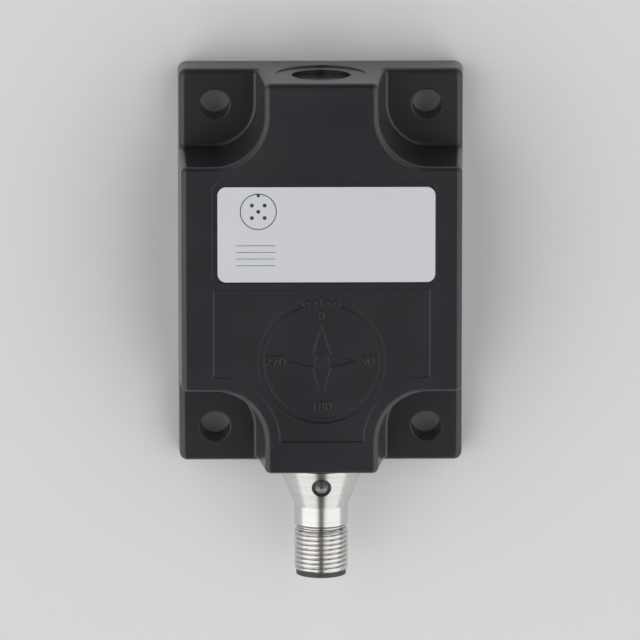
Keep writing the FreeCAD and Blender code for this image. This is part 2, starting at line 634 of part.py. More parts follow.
base_gasket = new_body("base_gasket")
gasket_outline = new_sketch(base_gasket, "gasket_outline", lift="plate_inset + plate_thickness")
rounded_rectangle(gasket_outline, f"-{PLATE_HALF_X}", PLATE_HALF_X, "-plate_length / 2", "plate_length / 2",
                  "plate_corner")
GASKET_IN_X, GASKET_IN_Y = f"({CHAMBER_HALF_X} + gasket_gap)", f"({CHAMBER_HALF_Y} + gasket_gap)"
rounded_rectangle(gasket_outline, f"-{GASKET_IN_X}", GASKET_IN_X, f"-{GASKET_IN_Y}", GASKET_IN_Y,
                  "chamber_corner + gasket_gap")
for x, y in four_corners("plate_screw_x", "plate_screw_y"):
    circle(gasket_outline, x, y, "plate_screw + 4 * screw_gap")
pad(base_gasket, gasket_outline, "gasket_thickness")


def primitive(kind, name, x="0", y="0", z="0", **formulas):
    """A primitive solid whose sizes and place are formulas."""
    solid = doc.addObject("Part::" + kind, name)
    bind(solid, Placement__Base__x=x, Placement__Base__y=y, Placement__Base__z=z, **formulas)
    return solid


def combine(kind, name, base, tool):
    """The cut, fusion or common part of two solids."""
    result = doc.addObject("Part::" + kind, name)
    result.Base, result.Tool = base, tool
    return result


def socket_screw(name, head, x, y, head_z, nominal, socket, socket_depth, length):
    """A screw that points up: head, shank above it and a hexagon socket from below."""
    shank = primitive("Cylinder", name + "_shank", x, y, head_z, Radius=f"{nominal} / 2", Height=length)
    whole = combine("Fuse", name + "_whole", head, shank)
    key = primitive("Prism", name + "_key", x, y, head_z, Circumradius=f"{socket} / 2", Height=socket_depth)
    key.Polygon = 6
    return combine("Cut", name, whole, key)


def screw_group(name, screws):
    group = doc.addObject("Part::Compound", name)
    group.Links = screws
    group.Label = name
    return group


plate_screws = []
for number, (x, y) in enumerate(four_corners("plate_screw_x", "plate_screw_y"), start=1):
    head = primitive("Cone", f"plate_screw_{number}_head", x, y, "plate_inset", Radius1="plate_screw_head / 2",
                     Radius2="plate_screw / 2", Height="(plate_screw_head - plate_screw) / 2")
    plate_screws.append(socket_screw(f"plate_screw_{number}", head, x, y, "plate_inset", "plate_screw",
                                     "plate_screw_socket", "plate_screw_socket_depth", "plate_screw_length"))
base_plate_screws = screw_group("base_plate_screws", plate_screws)


# Connector: turned shell, sealing ring, contact carrier and five pins
SHELL_REACH = "(cone_length + plain_length + undercut_length + thread_length)"
SHELL_FRONT = f"({SEAT_Y} + {SHELL_REACH})"
SHELL_BACK = f"({SEAT_Y} - shank_length)"
CARRIER_BACK = f"({SHELL_FRONT} - carrier_length)"
COLLAR_FRONT = f"({SHELL_FRONT} + collar_length)"
SOCKET_FLOOR = f"({COLLAR_FRONT} - socket_depth)"
GROOVE = "(ring_section + 2 * ring_gap)"
WINDOW_Y = f"({SEAT_Y} + window_offset)"
FLEX_Y = f"({SHELL_BACK} - flex_behind_shell)"
CONE_END = f"({SEAT_Y} + cone_length)"
PLAIN_END = f"({CONE_END} + plain_length)"
THREAD_START = f"({PLAIN_END} + undercut_length)"

connector_shell = new_body("connector_shell")
shell_profile = new_sketch(connector_shell, "shell_profile", plane="YZ_Plane", origin_up="connector_height")
polygon(shell_profile, [
    (f"-{SHELL_BACK}", "rear_bore / 2"),
    (f"-{SHELL_BACK}", "shank / 2"),
    (f"-{SEAT_Y} - {GROOVE}", "shank / 2"),
    (f"-{SEAT_Y} - {GROOVE}", f"shank / 2 + {GROOVE}"),
    (f"-{SEAT_Y}", f"shank / 2 + {GROOVE}"),
    (f"-{SEAT_Y}", "cone_base / 2"),
    (f"-{CONE_END}", "thread_diameter / 2"),
    (f"-{PLAIN_END}", "thread_diameter / 2"),
    (f"-{PLAIN_END} - undercut_depth", "thread_diameter / 2 - undercut_depth"),
    (f"-{THREAD_START} + undercut_depth / 2", "thread_diameter / 2 - undercut_depth"),
    (f"-{THREAD_START}", "thread_diameter / 2"),
    (f"-{SHELL_FRONT} + thread_chamfer", "thread_diameter / 2"),
    (f"-{SHELL_FRONT}", "thread_diameter / 2 - thread_chamfer"),
    (f"-{SHELL_FRONT}", "front_bore / 2"),
    (f"-{CARRIER_BACK}", "front_bore / 2"),
    (f"-{CARRIER_BACK}", "rear_bore / 2"),
])
revolve(connector_shell, shell_profile)
window = new_sketch(connector_shell, "window", lift="connector_height + window_seat")
circle(window, "0", f"-{WINDOW_Y}", "window_bore")
pocket(connector_shell, window, "cone_base / 2", reversed_way=True)
light_way = new_sketch(connector_shell, "light_way", lift="connector_height")
circle(light_way, "0", f"-{WINDOW_Y}", "light_bore")
pocket(connector_shell, light_way, "window_seat", reversed_way=True)

connector_o_ring = primitive("Torus", "connector_o_ring", y=f"-{SEAT_Y} - {GROOVE} / 2", z="connector_height",
                             Radius1=f"shank / 2 + {GROOVE} / 2", Radius2="ring_section / 2")
connector_o_ring.Placement.Rotation = FreeCAD.Rotation(FreeCAD.Vector(1, 0, 0), 90)
connector_o_ring.Label = "connector_o_ring"

DIAGONAL = "(pin_circle / 2 * sqrt(0.5))"
PIN_PLACES = [(DIAGONAL, DIAGONAL), (f"-{DIAGONAL}", DIAGONAL), (f"-{DIAGONAL}", f"-{DIAGONAL}"),
              (DIAGONAL, f"-{DIAGONAL}"), ("0", "0")]

contact_carrier = new_body("contact_carrier")
carrier_profile = new_sketch(contact_carrier, "carrier_profile", plane="YZ_Plane", origin_up="connector_height")
polygon(carrier_profile, [
    (f"-{CARRIER_BACK}", "0"),
    (f"-{CARRIER_BACK}", "front_bore / 2 - carrier_gap"),
    (f"-{SHELL_FRONT}", "front_bore / 2 - carrier_gap"),
    (f"-{SHELL_FRONT}", "collar_diameter / 2"),
    (f"-{COLLAR_FRONT}", "collar_diameter / 2"),
    (f"-{COLLAR_FRONT}", "socket_diameter / 2"),
    (f"-{SOCKET_FLOOR}", "socket_diameter / 2"),
    (f"-{SOCKET_FLOOR}", "0"),
])
revolve(contact_carrier, carrier_profile)
key = new_sketch(contact_carrier, "coding_key", plane="XZ_Plane", lift=SOCKET_FLOOR, origin_up="connector_height")
rounded_rectangle(key, "-key_width / 2", "key_width / 2", "socket_diameter / 2 - key_height",
                  "socket_diameter / 4 + front_bore / 4", "0")
pad(contact_carrier, key, "socket_depth - collar_length / 2")
pin_holes = new_sketch(contact_carrier, "pin_holes", plane="XZ_Plane", lift=SOCKET_FLOOR,
                       origin_up="connector_height")
for x, z in PIN_PLACES:
    circle(pin_holes, x, z, "pin_diameter + 2 * pin_gap")
pocket(contact_carrier, pin_holes, f"{SOCKET_FLOOR} - {CARRIER_BACK}")

for number, (x, z) in enumerate(PIN_PLACES, start=1):
    pin = new_body(f"contact_pin_{number}")
    bind(pin, Placement__Base__x=x, Placement__Base__z=f"connector_height + {z}")
    pin_profile = new_sketch(pin, f"pin_{number}_profile", plane="YZ_Plane")
    polygon(pin_profile, [
        (f"-{FLEX_Y} + pin_tail", "0"),
        (f"-{FLEX_Y} + pin_tail", "pin_diameter / 2"),
        (f"-{COLLAR_FRONT} + pin_setback + pin_diameter / 2", "pin_diameter / 2"),
        (f"-{COLLAR_FRONT} + pin_setback", "pin_diameter / 4"),
        (f"-{COLLAR_FRONT} + pin_setback", "0"),
    ])
    revolve(pin, pin_profile)

# Indicator: domed lens in the shell's window, lamp on a small board below it
LENS_RADIUS = "(window_bore / 2 - lens_gap)"
LENS_SEAT = "(connector_height + window_seat)"
DOME_RADIUS = f"(({LENS_RADIUS} ^ 2 + lens_dome ^ 2) / (2 * lens_dome))"
lens_rod = primitive("Cylinder", "lens_rod", y=f"-{WINDOW_Y}", z=LENS_SEAT, Radius=LENS_RADIUS,
                     Height="lens_edge_height + lens_dome")
lens_ball = primitive("Sphere", "lens_ball", y=f"-{WINDOW_Y}",
                      z=f"{LENS_SEAT} + lens_edge_height + lens_dome - {DOME_RADIUS}", Radius=DOME_RADIUS)
indicator_lens = combine("Common", "indicator_lens", lens_rod, lens_ball)
indicator_lens.Label = "indicator_lens"

LAMP_BOARD_LOW = f"(connector_height + {DIAGONAL} + pin_diameter / 2 + lamp_board_gap)"
indicator_board = primitive("Box", "indicator_board", x="-lamp_board_width / 2",
                            y=f"-{WINDOW_Y} - lamp_board_length / 2", z=LAMP_BOARD_LOW, Length="lamp_board_width",
                            Width="lamp_board_length", Height="lamp_board_thickness")
indicator_board.Label = "indicator_board"
indicator_lamp = primitive("Box", "indicator_lamp", x="-lamp_width / 2", y=f"-{WINDOW_Y} - lamp_length / 2",
                           z=f"{LAMP_BOARD_LOW} + lamp_board_thickness", Length="lamp_width",
                           Width="lamp_length", Height="lamp_height")
indicator_lamp.Label = "indicator_lamp"

# Flexible circuit from the pins to the header on the main board
HEADER_TOP = "(board_top + header_height)"
FLEX_TOP = "(connector_height + flex_rise)"
flex_circuit = new_body("flex_circuit")
flex_profile = new_sketch(flex_circuit, "flex_profile", plane="YZ_Plane", lift="-flex_width / 2")
FLEX_HALF = "flex_thickness / 2"
rounded_outline(flex_profile, [
    (f"-{FLEX_Y} - {FLEX_HALF}", "connector_height - flex_drop", "0"),
    (f"-{FLEX_Y} + {FLEX_HALF}", "connector_height - flex_drop", "0"),
    (f"-{FLEX_Y} + {FLEX_HALF}", f"{FLEX_TOP} - {FLEX_HALF}", f"flex_bend - {FLEX_HALF}"),
    (f"-header_y - {FLEX_HALF}", f"{FLEX_TOP} - {FLEX_HALF}", f"flex_bend - {FLEX_HALF}"),
    (f"-header_y - {FLEX_HALF}", f"{HEADER_TOP} - slot_depth + slot_gap", "0"),
    (f"-header_y + {FLEX_HALF}", f"{HEADER_TOP} - slot_depth + slot_gap", "0"),
    (f"-header_y + {FLEX_HALF}", f"{FLEX_TOP} + {FLEX_HALF}", f"flex_bend + {FLEX_HALF}"),
    (f"-{FLEX_Y} - {FLEX_HALF}", f"{FLEX_TOP} + {FLEX_HALF}", f"flex_bend + {FLEX_HALF}"),
])
pad(flex_circuit, flex_profile, "flex_width")
flex_holes = new_sketch(flex_circuit, "flex_holes", plane="XZ_Plane", lift=f"{FLEX_Y} + flex_thickness",
                        origin_up="connector_height")
for x, z in PIN_PLACES:
    circle(flex_holes, x, z, "pin_diameter + 2 * pin_gap")
pocket(flex_circuit, flex_holes, "2 * flex_thickness")

board_header = new_body("board_header")
header_outline = new_sketch(board_header, "header_outline", lift="board_top")
rounded_rectangle(header_outline, "-header_length / 2", "header_length / 2", "-header_y - header_width / 2",
                  "-header_y + header_width / 2", "0")
pad(board_header, header_outline, "header_height")
header_slot = new_sketch(board_header, "header_slot", lift=HEADER_TOP)
rounded_rectangle(header_slot, "-flex_width / 2 - slot_gap", "flex_width / 2 + slot_gap",
                  "-header_y - flex_thickness / 2 - slot_gap", "-header_y + flex_thickness / 2 + slot_gap", "0")
pocket(board_header, header_slot, "slot_depth")

# Main board, hung from the housing's bosses by four screws
BOARD_LOW = "(board_top - board_thickness)"
main_board = new_body("main_board")
board_outline = new_sketch(main_board, "board_outline", lift=BOARD_LOW)
rounded_rectangle(board_outline, f"-({CHAMBER_HALF_X} - board_gap)", f"{CHAMBER_HALF_X} - board_gap",
                  f"-({CHAMBER_HALF_Y} - board_gap)", f"{CHAMBER_HALF_Y} - board_gap", "chamber_corner")
pad(main_board, board_outline, "board_thickness")
board_holes = new_sketch(main_board, "board_holes", lift="board_top")
for x, y in four_corners("boss_x", "boss_y"):
    circle(board_holes, x, y, "board_screw + 2 * screw_gap")
pocket(main_board, board_holes, "board_thickness")

board_screw_list = []
for number, (x, y) in enumerate(four_corners("boss_x", "boss_y"), start=1):
    head = primitive("Cylinder", f"board_screw_{number}_head", x, y, f"{BOARD_LOW} - board_screw_head_height",
                     Radius="board_screw_head / 2", Height="board_screw_head_height")
    board_screw_list.append(socket_screw(
        f"board_screw_{number}", head, x, y, f"{BOARD_LOW} - board_screw_head_height", "board_screw",
        "board_screw_socket", "board_screw_socket_depth", "board_screw_length + board_screw_head_height"))
board_screws = screw_group("board_screws", board_screw_list)


# Parts soldered to the main board, on its upper side or hanging below it
def on_board(body, x, y, below=False):
    if below:
        body.Placement.Rotation = FreeCAD.Rotation(FreeCAD.Vector(1, 0, 0), 180)
    bind(body, Placement__Base__x=x, Placement__Base__y=y, Placement__Base__z=BOARD_LOW if below else "board_top")


def add_leads(body, name, count, pitch, half_reach, along_x=True):
    """Flat leads that run under the package from side to side, one beside the other."""
    first = f"-({count} - 1) * {pitch} / 2"
    low, high = f"{first} - lead_width / 2", f"{first} + lead_width / 2"
    lead = new_sketch(body, name)
    if along_x:
        rounded_rectangle(lead, low, high, f"-({half_reach})", half_reach, "0")
    else:
        rounded_rectangle(lead, f"-({half_reach})", half_reach, low, high, "0")
    lead_pad = pad(body, lead, "lead_thickness")
    row = body.newObject("PartDesign::LinearPattern", name + "_row")
    row.Originals = [lead_pad]
    row.Direction = (lead, ["H_Axis" if along_x else "V_Axis"])
    bind(row, Length=f"({count} - 1) * {pitch}", Occurrences=count)
    body.Tip = row
    doc.recompute()


def package(name, length, width, height, lift="0"):
    """A moulded rectangular package, standing on the board."""
    body = new_body(name)
    outline = new_sketch(body, name + "_outline", lift=lift)
    rounded_rectangle(outline, f"-{length} / 2", f"{length} / 2", f"-{width} / 2", f"{width} / 2", "0")
    pad(body, outline, f"{height} - {lift}")
    return body


LEAD_LIFT = "lead_thickness / 2"
tilt_sensor_chip = package("tilt_sensor_chip", "tilt_chip_side", "tilt_chip_side", "tilt_chip_height")
round_edges(tilt_sensor_chip, "tilt_chip_edges", "package_edge",
            lambda edge: level(edge, worth("tilt_chip_height")))
on_board(tilt_sensor_chip, "tilt_chip_x", "tilt_chip_y")

microcontroller = package("microcontroller", "controller_side", "controller_side", "controller_height",
                          lift=LEAD_LIFT)
for name, along_x in (("controller_leads_y", True), ("controller_leads_x", False)):
    add_leads(microcontroller, name, "controller_leads", "controller_pitch", "controller_side / 2 + lead_reach",
              along_x)
on_board(microcontroller, "controller_x", "controller_y")

bus_transceiver = package("bus_transceiver", "transceiver_length", "transceiver_width", "transceiver_height",
                          lift=LEAD_LIFT)
add_leads(bus_transceiver, "transceiver_leads", "transceiver_lead_count", "transceiver_pitch",
          "transceiver_width / 2 + lead_reach")
on_board(bus_transceiver, "transceiver_x", "transceiver_y")

crystal = package("crystal", "crystal_length", "crystal_width", "crystal_height")
round_edges(crystal, "crystal_ends", "crystal_width * 0.45",
            lambda edge: edge.BoundBox.ZLength > worth("crystal_height / 2"))
on_board(crystal, "crystal_x", "crystal_y")

voltage_regulator = package("voltage_regulator", "regulator_length", "regulator_width", "regulator_height",
                            lift=LEAD_LIFT)
tab = new_sketch(voltage_regulator, "regulator_tab")
rounded_rectangle(tab, "-regulator_tab / 2", "regulator_tab / 2", "0", "regulator_width / 2 + regulator_tab_reach",
                  "0")
pad(voltage_regulator, tab, "lead_thickness")
leg = new_sketch(voltage_regulator, "regulator_legs")
for side in ("-1", "1"):
    rounded_rectangle(leg, f"{side} * regulator_pitch / 2 - lead_width", f"{side} * regulator_pitch / 2 + lead_width",
                      "-regulator_width / 2 - regulator_leg_reach", "-regulator_width / 4", "0")
pad(voltage_regulator, leg, "lead_thickness")
on_board(voltage_regulator, "regulator_x", "regulator_y", below=True)

for number in (1, 2):
    capacitor = package(f"filter_capacitor_{number}", "capacitor_base", "capacitor_base", "capacitor_base_height")
    can = new_sketch(capacitor, f"capacitor_{number}_can", lift="capacitor_base_height")
    circle(can, "0", "0", "capacitor_diameter")
    pad(capacitor, can, "capacitor_height - capacitor_base_height")
    round_edges(capacitor, f"capacitor_{number}_rim", "package_edge",
                lambda edge: level(edge, worth("capacitor_height")))
    on_board(capacitor, f"capacitor_x + {number} * capacitor_pitch", "capacitor_y", below=True)

inductor = package("inductor", "inductor_side", "inductor_side", "inductor_base_height")
coil = new_sketch(inductor, "inductor_coil", lift="inductor_base_height")
circle(coil, "0", "0", "inductor_coil")
pad(inductor, coil, "inductor_height - inductor_base_height")
on_board(inductor, "inductor_x", "inductor_y", below=True)

surge_diode = package("surge_diode", "diode_length", "diode_width", "diode_height", lift=LEAD_LIFT)
add_leads(surge_diode, "diode_leads", "diode_lead_count", "diode_pitch", "diode_width / 2 + lead_reach")
on_board(surge_diode, "diode_x", "diode_y", below=True)

# Label, stuck into its shallow seat
label = new_body("label")
label_outline = new_sketch(label, "label_outline", lift="housing_height - label_recess")
rounded_rectangle(label_outline, LABEL_LEFT, LABEL_RIGHT, LABEL_LOW, LABEL_HIGH, "label_corner")
pad(label, label_outline, "label_thickness")

doc.recompute()

pieces = [thing for thing in doc.Objects if thing.TypeId == "PartDesign::Body"]
pieces += [base_plate_screws, board_screws, connector_o_ring, indicator_lens, indicator_board, indicator_lamp]

for thing in doc.Objects:
    if "Invalid" in thing.State or "Error" in thing.State:
        raise RuntimeError(f"{thing.Label} did not recompute: {thing.State}")
for piece in pieces:
    if piece.Shape.isNull() or not piece.Shape.isValid():
        raise RuntimeError(f"{piece.Label} is not a sound solid")

os.makedirs("parts", exist_ok=True)
for piece in pieces:
    piece.Shape.exportStep(f"parts/{piece.Label}.step")
print(len(pieces), "pieces written")
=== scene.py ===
"""Looks of the tilt sensor: a black cast housing with a white label and a plug connector.

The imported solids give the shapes. This script adds their finishes, the thread, the
numerals of the compass, the print on the label, the floor, the light and the camera.
Everything is in metres, in the frame of the solids: the mounting face is at z = 0 and
the label looks up.
"""

import math

import bmesh
import bpy
import numpy as np
from mathutils import Matrix, Vector


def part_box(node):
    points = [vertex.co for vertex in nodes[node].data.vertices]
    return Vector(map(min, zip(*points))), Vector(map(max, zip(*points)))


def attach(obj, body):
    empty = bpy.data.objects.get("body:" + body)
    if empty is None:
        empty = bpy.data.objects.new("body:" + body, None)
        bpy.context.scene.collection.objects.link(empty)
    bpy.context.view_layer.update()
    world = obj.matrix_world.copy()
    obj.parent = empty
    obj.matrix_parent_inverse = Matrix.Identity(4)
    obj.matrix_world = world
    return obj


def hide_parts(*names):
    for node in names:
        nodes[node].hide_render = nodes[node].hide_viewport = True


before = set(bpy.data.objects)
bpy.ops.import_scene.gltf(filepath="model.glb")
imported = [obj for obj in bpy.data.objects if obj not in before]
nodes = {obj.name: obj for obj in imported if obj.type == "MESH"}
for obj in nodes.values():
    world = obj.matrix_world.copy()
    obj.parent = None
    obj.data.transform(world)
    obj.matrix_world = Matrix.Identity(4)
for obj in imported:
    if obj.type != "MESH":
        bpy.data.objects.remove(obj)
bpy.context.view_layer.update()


# Housing: one die casting of aluminium with stepped, drafted corners. Its coat is baked
# black powder, which leaves a fine grain and a soft, slightly wavy gloss.
COAT_DEEP = (0.0110, 0.0113, 0.0150, 1.0)
COAT_LIGHT = (0.0165, 0.0168, 0.0218, 1.0)
COAT_GRAIN = 0.00022
COAT_WAVES = 0.0022
COAT_GLOSS = 0.33
COAT_EDGE = 0.00024
SOFT_EDGE = math.radians(28)


def add(tree, kind, feeds=(), **settings):
    """Adds a shader node. Each feed is (input, value or output socket)."""
    made = tree.nodes.new("ShaderNode" + kind)
    for name, value in settings.items():
        setattr(made, name, value)
    for socket, value in feeds:
        if isinstance(value, bpy.types.NodeSocket):
            tree.links.new(value, made.inputs[socket])
        else:
            made.inputs[socket].default_value = value
    return made


def new_group(name, inputs, outputs):
    """An empty node group with float inputs {name: start value} and float outputs [name]."""
    tree = bpy.data.node_groups.new(name, "ShaderNodeTree")
    for label, start in inputs.items():
        socket = tree.interface.new_socket(label, in_out="INPUT", socket_type="NodeSocketFloat")
        socket.default_value = start
    for label in outputs:
        tree.interface.new_socket(label, in_out="OUTPUT", socket_type="NodeSocketFloat")
    return tree, tree.nodes.new("NodeGroupInput").outputs, tree.nodes.new("NodeGroupOutput").inputs


def noise(tree, where, size, detail=2.0):
    """Cloudy values from 0 to 1 whose features are about size metres wide."""
    scale = add(tree, "Math", [(0, 1.0), (1, size)], operation="DIVIDE").outputs[0]
    return add(tree, "TexNoise", [("Vector", where), ("Scale", scale), ("Detail", detail)]).outputs[0]


def build_coat_grain():
    """Fine grain over slow waves as a height, and broad patches as a mask."""
    tree, inputs, outputs = new_group("coat_grain", {"grain": 0.0003, "waves": 0.002}, ["height", "patches"])
    where = add(tree, "TexCoord").outputs["Object"]
    fine = noise(tree, where, inputs["grain"], 3.0)
    slow = noise(tree, where, inputs["waves"], 1.0)
    both = add(tree, "Math", [(0, fine), (1, 0.45), (2, slow)], operation="MULTIPLY_ADD").outputs[0]
    tree.links.new(both, outputs["height"])
    wide = add(tree, "Math", [(0, inputs["waves"]), (1, 6.0)], operation="MULTIPLY").outputs[0]
    tree.links.new(noise(tree, where, wide, 4.0), outputs["patches"])
    return tree


coat_grain = build_coat_grain()


def build_handling():
    """Long faint wipes that slant across the surface, as a mask."""
    tree, inputs, outputs = new_group("handling", {"wipe": 0.02}, ["wipes"])
    where = add(tree, "TexCoord").outputs["Object"]
    drawn = add(tree, "Mapping", [("Vector", where), ("Rotation", (0.0, 0.0, 0.6)),
                                  ("Scale", (1.0, 0.16, 1.0))]).outputs[0]
    tree.links.new(noise(tree, drawn, inputs["wipe"], 5.0), outputs["wipes"])
    return tree


handling = build_handling()


def use_group(tree, group, **values):
    """Places a node group and sets its inputs; returns its outputs."""
    placed = tree.nodes.new("ShaderNodeGroup")
    placed.node_tree = group
    for name, value in values.items():
        placed.inputs[name].default_value = value
    return placed.outputs


def two_tone(tree, mask, first, second):
    """A colour that goes from the first to the second as the mask goes from 0 to 1."""
    return add(tree, "Mix", [(0, mask), (6, first), (7, second)], data_type="RGBA").outputs[2]


def between(tree, mask, low, high, start=0.0, end=1.0):
    """A value that goes from low to high as the mask goes from start to end."""
    return add(tree, "MapRange", [("Value", mask), ("From Min", start), ("From Max", end),
                                  ("To Min", low), ("To Max", high)]).outputs[0]


def clouded(tree, mask, low=0.0, high=1.0):
    """A value that goes from low to high over the middle part of a noise's range."""
    return between(tree, mask, low, high, 0.3, 0.7)


def bumped(tree, height, depth, before=None):
    """A normal for a height from 0 to 1 that stands for a relief of depth metres."""
    feeds = [("Height", height), ("Distance", depth), ("Strength", 1.0)]
    if before is not None:
        feeds.append(("Normal", before))
    return add(tree, "Bump", feeds).outputs[0]


def new_finish(name, plain=()):
    """A material with one Principled shader; plain is a list of (socket, value)."""
    material = bpy.data.materials.new(name)
    material.use_nodes = True
    tree = material.node_tree
    shader = tree.nodes["Principled BSDF"]
    for socket, value in plain:
        shader.inputs[socket].default_value = value
    return material, tree, shader


def feed(tree, shader, **sockets):
    """Links varying values to the shader; an underscore in a name stands for a space."""
    for name, value in sockets.items():
        tree.links.new(value, shader.inputs[name.replace("_", " ")])


def powder_coat(name, deep, light, grain, waves, gloss):
    """Baked powder: two close blacks in patches, a fine grain and an uneven soft gloss.

    The powder flows round every sharp edge, which the rounded normals stand for.
    """
    material, tree, shader = new_finish(name, plain=[("IOR", 1.5), ("Coat Weight", 0.3),
                                                     ("Coat Roughness", 0.22)])
    coat = use_group(tree, coat_grain, grain=grain, waves=waves)
    touch = use_group(tree, handling, wipe=0.018)
    patches = clouded(tree, coat["patches"])
    rounded = add(tree, "Bevel", [("Radius", COAT_EDGE)], samples=8).outputs[0]
    feed(tree, shader, Base_Color=two_tone(tree, patches, deep, light),
         Roughness=clouded(tree, touch["wipes"], gloss - 0.03, gloss + 0.03),
         Normal=bumped(tree, coat["height"], 0.000004, rounded))
    return material


def soften(work):
    """Shades every face smooth and keeps the edges sharp where two faces meet at an angle."""
    for face in work.faces:
        face.smooth = True
    for edge in work.edges:
        edge.smooth = edge.is_manifold and edge.calc_face_angle() < SOFT_EDGE


def smooth_copy(node_name, name):
    """A merged copy of a solid's mesh, shaded smooth except across its real edges."""
    mesh = nodes[node_name].data.copy()
    mesh.name = name
    work = bmesh.new()
    work.from_mesh(mesh)
    bmesh.ops.remove_doubles(work, verts=work.verts, dist=2e-7)
    soften(work)
    work.to_mesh(mesh)
    work.free()
    if "custom_normal" in mesh.attributes:
        mesh.attributes.remove(mesh.attributes["custom_normal"])
    piece = bpy.data.objects.new(name, mesh)
    bpy.context.scene.collection.objects.link(piece)
    even = piece.modifiers.new("even_normals", "WEIGHTED_NORMAL")
    even.keep_sharp = True
    even.weight = 90
    return piece


def dress(piece, material, stands_for=None):
    """Gives a piece its material and its body, and lets it stand for a solid."""
    piece.data.materials.clear()
    piece.data.materials.append(material)
    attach(piece, "root")
    if stands_for:
        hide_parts(stands_for)


black_coat = (COAT_DEEP, COAT_LIGHT, COAT_GRAIN, COAT_WAVES, COAT_GLOSS)
housing = smooth_copy("housing", "cast_housing")
dress(housing, powder_coat("black_powder_coat", *black_coat), "housing")


# Compass numerals and index ticks: cast with the housing and coated with it, so they
# stand a little above the panel's floor. They number the four directions in degrees.
PANEL_FLOOR = 0.02575
NUMERAL_RISE = 0.00030
NUMERAL_HEIGHT = 0.0021
COMPASS = Vector((0.0, -0.0185))
NUMERAL_REACH = 0.0103
DIRECTIONS = (("0", 0.0, 1.0), ("90", 1.0, 0.0), ("180", 0.0, -1.0), ("270", -1.0, 0.0))


def numeral(text, centre, height, low, rise):
    """A flat raised word of digits, centred on a point of the panel."""
    curve = bpy.data.curves.new("digits", "FONT")
    curve.body = text
    curve.size = height / 0.7
    curve.align_x, curve.align_y = "CENTER", "CENTER"
    curve.extrude = rise / 2
    curve.bevel_depth = rise / 5
    curve.resolution_u = 4
    drawn = bpy.data.objects.new("digits", curve)
    bpy.context.scene.collection.objects.link(drawn)
    bpy.context.view_layer.update()
    mesh = bpy.data.meshes.new_from_object(drawn)
    bpy.data.objects.remove(drawn)
    mesh.transform(Matrix.Translation((centre[0], centre[1], low + rise / 2)))
    return mesh


def joined(name, meshes):
    """One closed piece from several meshes, with merged corners and outward faces."""
    work = bmesh.new()
    for mesh in meshes:
        work.from_mesh(mesh)
        bpy.data.meshes.remove(mesh)
    bmesh.ops.remove_doubles(work, verts=work.verts, dist=1e-7)
    bmesh.ops.recalc_face_normals(work, faces=work.faces)
    soften(work)
    whole = bpy.data.meshes.new(name)
    work.to_mesh(whole)
    work.free()
    piece = bpy.data.objects.new(name, whole)
    bpy.context.scene.collection.objects.link(piece)
    return piece


def mesh_of_rings(rings, wrap=False):
    """A closed skin over rings of points [ring, place on the ring, xyz].

    Each ring is closed on itself. With wrap the last ring joins the first; without it
    the two end rings are closed by fans to their middles.
    """
    if not wrap:
        caps = rings[[0, -1]].mean(axis=1, keepdims=True) * np.ones((1, rings.shape[1], 1))
        rings = np.concatenate([caps[:1], rings, caps[1:]])
    count, around = rings.shape[:2]
    ring, place = np.meshgrid(np.arange(count if wrap else count - 1), np.arange(around), indexing="ij")
    ring_next, place_next = (ring + 1) % count, (place + 1) % around
    corners = [ring * around + place, ring * around + place_next,
               ring_next * around + place_next, ring_next * around + place]
    mesh = bpy.data.meshes.new("rings")
    mesh.from_pydata(rings.reshape(-1, 3).tolist(), [], np.stack(corners, axis=-1).reshape(-1, 4).tolist())
    return mesh


def tapered_bar(start, end, width, low, rise):
    """A straight bar on the panel: a rectangle that shrinks by a third of its rise at the top."""
    start, end = np.array(start), np.array(end)
    along = (end - start) / np.linalg.norm(end - start)
    across = np.array([-along[1], along[0]]) * width / 2
    foot = np.array([start - across, end - across, end + across, start + across])
    inward = (foot.mean(axis=0) - foot) / np.abs(foot.mean(axis=0) - foot).max() * rise / 3
    rings = [np.column_stack([foot, np.full(4, low)]),
             np.column_stack([foot + inward, np.full(4, low + rise)])]
    return mesh_of_rings(np.array(rings))


digits = [numeral(text, (COMPASS.x + right * NUMERAL_REACH, COMPASS.y + up * NUMERAL_REACH), NUMERAL_HEIGHT,
                  PANEL_FLOOR - 0.00002, NUMERAL_RISE) for text, right, up in DIRECTIONS]
compass_numerals = joined("compass_numerals", digits)
dress(compass_numerals, powder_coat("numeral_powder_coat", *black_coat))

TICK_ANGLES = (-12.0, -6.0, 0.0, 6.0, 12.0)
TICK_INNER, TICK_OUTER, TICK_WIDTH = 0.0126, 0.0144, 0.00055
ticks = []
for angle in TICK_ANGLES:
    way = np.array([math.sin(math.radians(angle)), math.cos(math.radians(angle))])
    outer = TICK_OUTER if angle == 0 else TICK_OUTER - 0.0004
    ticks.append(tapered_bar(way * TICK_INNER + COMPASS, way * outer + COMPASS, TICK_WIDTH,
                             PANEL_FLOOR - 0.00002, NUMERAL_RISE))
index_ticks = joined("compass_index_ticks", ticks)
dress(index_ticks, powder_coat("tick_powder_coat", *black_coat))


# Label: a die-cut white polyester film, stuck into its shallow seat. It is printed with
# the plug's contact layout in black and four ruled lines to write on.
FILM_WHITE = (0.700, 0.715, 0.750, 1.0)
FILM_SHADED = (0.660, 0.675, 0.710, 1.0)
INK_BLACK = (0.020, 0.020, 0.022, 1.0)
INK_WORN = (0.060, 0.060, 0.064, 1.0)
FILM_TOP = 0.0259
INK_FOOT, INK_RISE = 0.00003, 0.00002
LAYOUT_CENTRE = np.array([-0.01408, 0.01548])
LAYOUT_RADIUS, LAYOUT_LINE = 0.0040, 0.00020
NOTCH_SIDE = 0.0007
CONTACT_REACH, CONTACT_DOT = 0.0020, 0.00044
RULED_LEFT, RULED_RIGHT, RULED_WIDTH = -0.0190, -0.0103, 0.00011
RULED_HEIGHTS = (0.0078, 0.0063, 0.0048, 0.0033)


